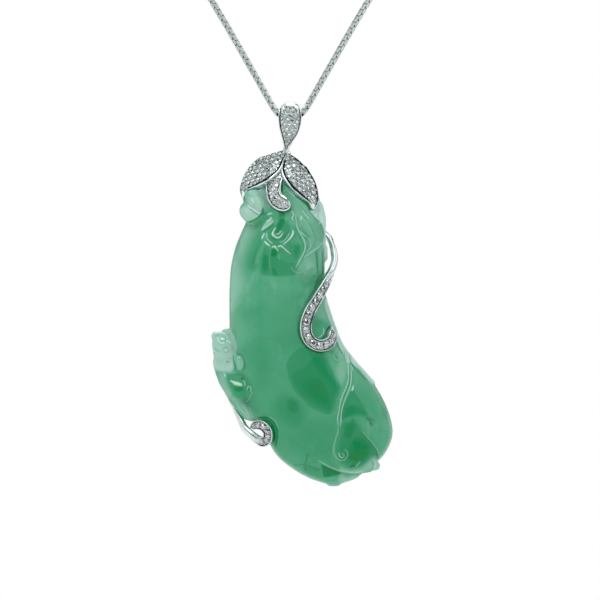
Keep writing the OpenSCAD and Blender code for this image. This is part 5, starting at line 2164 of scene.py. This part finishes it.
@dataclass
class Clasp:
    """The plain ring at the nape: its CAD nodes dressed, and the little lever on its side."""

    wire: float = 1.2
    lever_length: float = 0.5
    lever_radii: Point = (0.34, 0.26)

    def make(self, finish: bpy.types.Material) -> None:
        """Dresses the ring and its links and adds the lever.

        Args:
            finish: The metal.
        """
        for name in ("clasp", "clasp_link_left", "clasp_link_right"):
            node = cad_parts[name]
            node.data.materials.clear()
            node.data.materials.append(finish)
        bm = bmesh.new()
        middle = FRONT * (self.wire / 2) - NECK_TO_BAIL
        bmesh.ops.create_cone(
            bm, cap_ends=True, segments=16, radius1=self.lever_radii[0], radius2=self.lever_radii[1],
            depth=self.lever_length,
            matrix=Matrix.Translation(middle) @ Matrix.Rotation(math.pi / 2, 4, "X"),
        )
        from_bmesh(bm, "clasp_lever", Body.NECKLACE, Slot.CHAIN, finish, 40)


# Studio


class Studio:
    """Camera, lights, sky and floor."""

    distance = 1.0
    frame_width = 0.102
    aim = Vector((0.0017, -0.112, -0.1512))
    # Dark panels of the tent: 0 across or 1 upwards, middle, half width, darkness
    panels = ((0, -0.5, 0.08, 0.92), (0, 0.44, 0.07, 0.92), (1, 0.24, 0.04, 0.8), (1, -0.42, 0.06, 0.8))
    panel_edge = 0.03
    strip_power = 3.0
    # Light of the tent: from below, and how much more from above
    low_light, high_light = 0.46, 0.3
    cool = 1.01
    floor_radius, floor_height = 1.6, -0.3
    # Soft lights: name, place from the jade's middle, side, strength in watts
    lamps = (
        ("key", Vector((-0.35, -0.5, 0.45)), 0.3, 1.7),
        ("fill", Vector((0.5, -0.45, 0.1)), 0.4, 0.5),
        ("rim", Vector((0.1, 0.5, 0.4)), 0.4, 1.2),
    )

    def camera(self) -> None:
        """Looks straight at the front, with the photograph's framing."""
        data = bpy.data.cameras.new("front_camera")
        data.lens = data.sensor_width / self.frame_width * self.distance
        data.clip_start, data.clip_end = 0.01, 100
        camera = new_object("front_camera", data)
        camera.location = self.aim + FRONT * self.distance
        camera.rotation_euler = (math.pi / 2, 0, 0)
        bpy.context.scene.camera = camera

    def light(self, name: str, place: Vector, size: float, power: float) -> None:
        """Adds one soft light that faces the jade.

        Args:
            name: Its name.
            place: Where it stands, from the jade's middle.
            size: Its side.
            power: Its strength in watts.
        """
        data = bpy.data.lights.new(name, "AREA")
        data.shape, data.size, data.energy = "SQUARE", size, power
        lamp = new_object(name, data)
        lamp.location = self.aim + place
        lamp.rotation_euler = (-place).to_track_quat("-Z", "Y").to_euler()
        lamp.visible_glossy = False

    def sky(self) -> None:
        """White behind the model; a soft tent lights it, and what shines mirrors panels in it."""
        world = bpy.data.worlds.new("light_tent")
        world.use_nodes = True
        bpy.context.scene.world = world
        bench = Bench(world.node_tree)
        way = bench.add("ShaderNodeTexCoord", {}, {}, out="Generated")
        split = bench.node("ShaderNodeSeparateXYZ", {}, {0: way})
        x, y, z = (Wire(bench, split.outputs[k]) for k in range(3))
        soft = self.low_light + self.high_light * z.step(-0.3, 0.9)
        mirrored = 1.0 + 0.3 * z.step(0.3, 0.6) - 0.45 * (0 - z).step(0.1, 0.6)
        for axis, middle, half, shade in self.panels:
            value, outer = (x, z)[axis] - middle, half + self.panel_edge
            mirrored = mirrored * (1 - shade * value.step(-outer, -half) * (1 - value.step(half, outer)))
        strip = z.step(0.7, 0.74) * (1 - z.step(0.88, 0.92)) * (1 - (x * x).step(0.1, 0.2))
        mirrored = mirrored + self.strip_power * strip * (0 - y).step(0.1, 0.3)
        path = bench.node("ShaderNodeLightPath", {}, {})
        seen, shiny = (Wire(bench, path.outputs[name]) for name in ("Is Camera Ray", "Is Glossy Ray"))
        tone = soft + (mirrored - soft) * shiny
        grey = bench.add("ShaderNodeCombineColor", {}, {0: tone, 1: tone, 2: tone * self.cool})
        shown = bench.blend(seen, grey, (1, 1, 1, 1))
        glow = bench.add("ShaderNodeBackground", {}, {"Color": shown, "Strength": 1.0})
        bench.node("ShaderNodeOutputWorld", {}, {"Surface": glow})

    def floor(self) -> None:
        """A large pale disc under the model."""
        bm = bmesh.new()
        place = Matrix.Translation((0, 0, self.floor_height))
        bmesh.ops.create_circle(bm, cap_ends=True, segments=96, radius=self.floor_radius, matrix=place)
        mesh = keep(bm, bpy.data.meshes.new("floor"))
        mesh.materials.append(StageFinish().make())
        disc = new_object("floor", mesh)

    def make(self) -> None:
        """Sets up the studio."""
        bpy.context.scene.view_settings.view_transform = "Standard"
        self.camera()
        self.sky()
        self.floor()
        for lamp in self.lamps:
            self.light(*lamp)


def main() -> None:
    """Builds every piece in order."""
    logging.basicConfig(level=logging.INFO, format="%(name)s: %(message)s")
    Studio().make()
    gold = MetalFinish("white_gold", paint(226, 236, 234), 0.15).make()
    silver = MetalFinish("chain_silver", paint(214, 224, 222), 0.26).make()
    mount = Mount(gold, StoneFinish().make())
    mount.make()
    Jade(JadeFinish().make()).make(mount.seat_bands())
    BoxChain().make(silver)
    Clasp().make(silver)


if __name__ == "__main__":
    main()
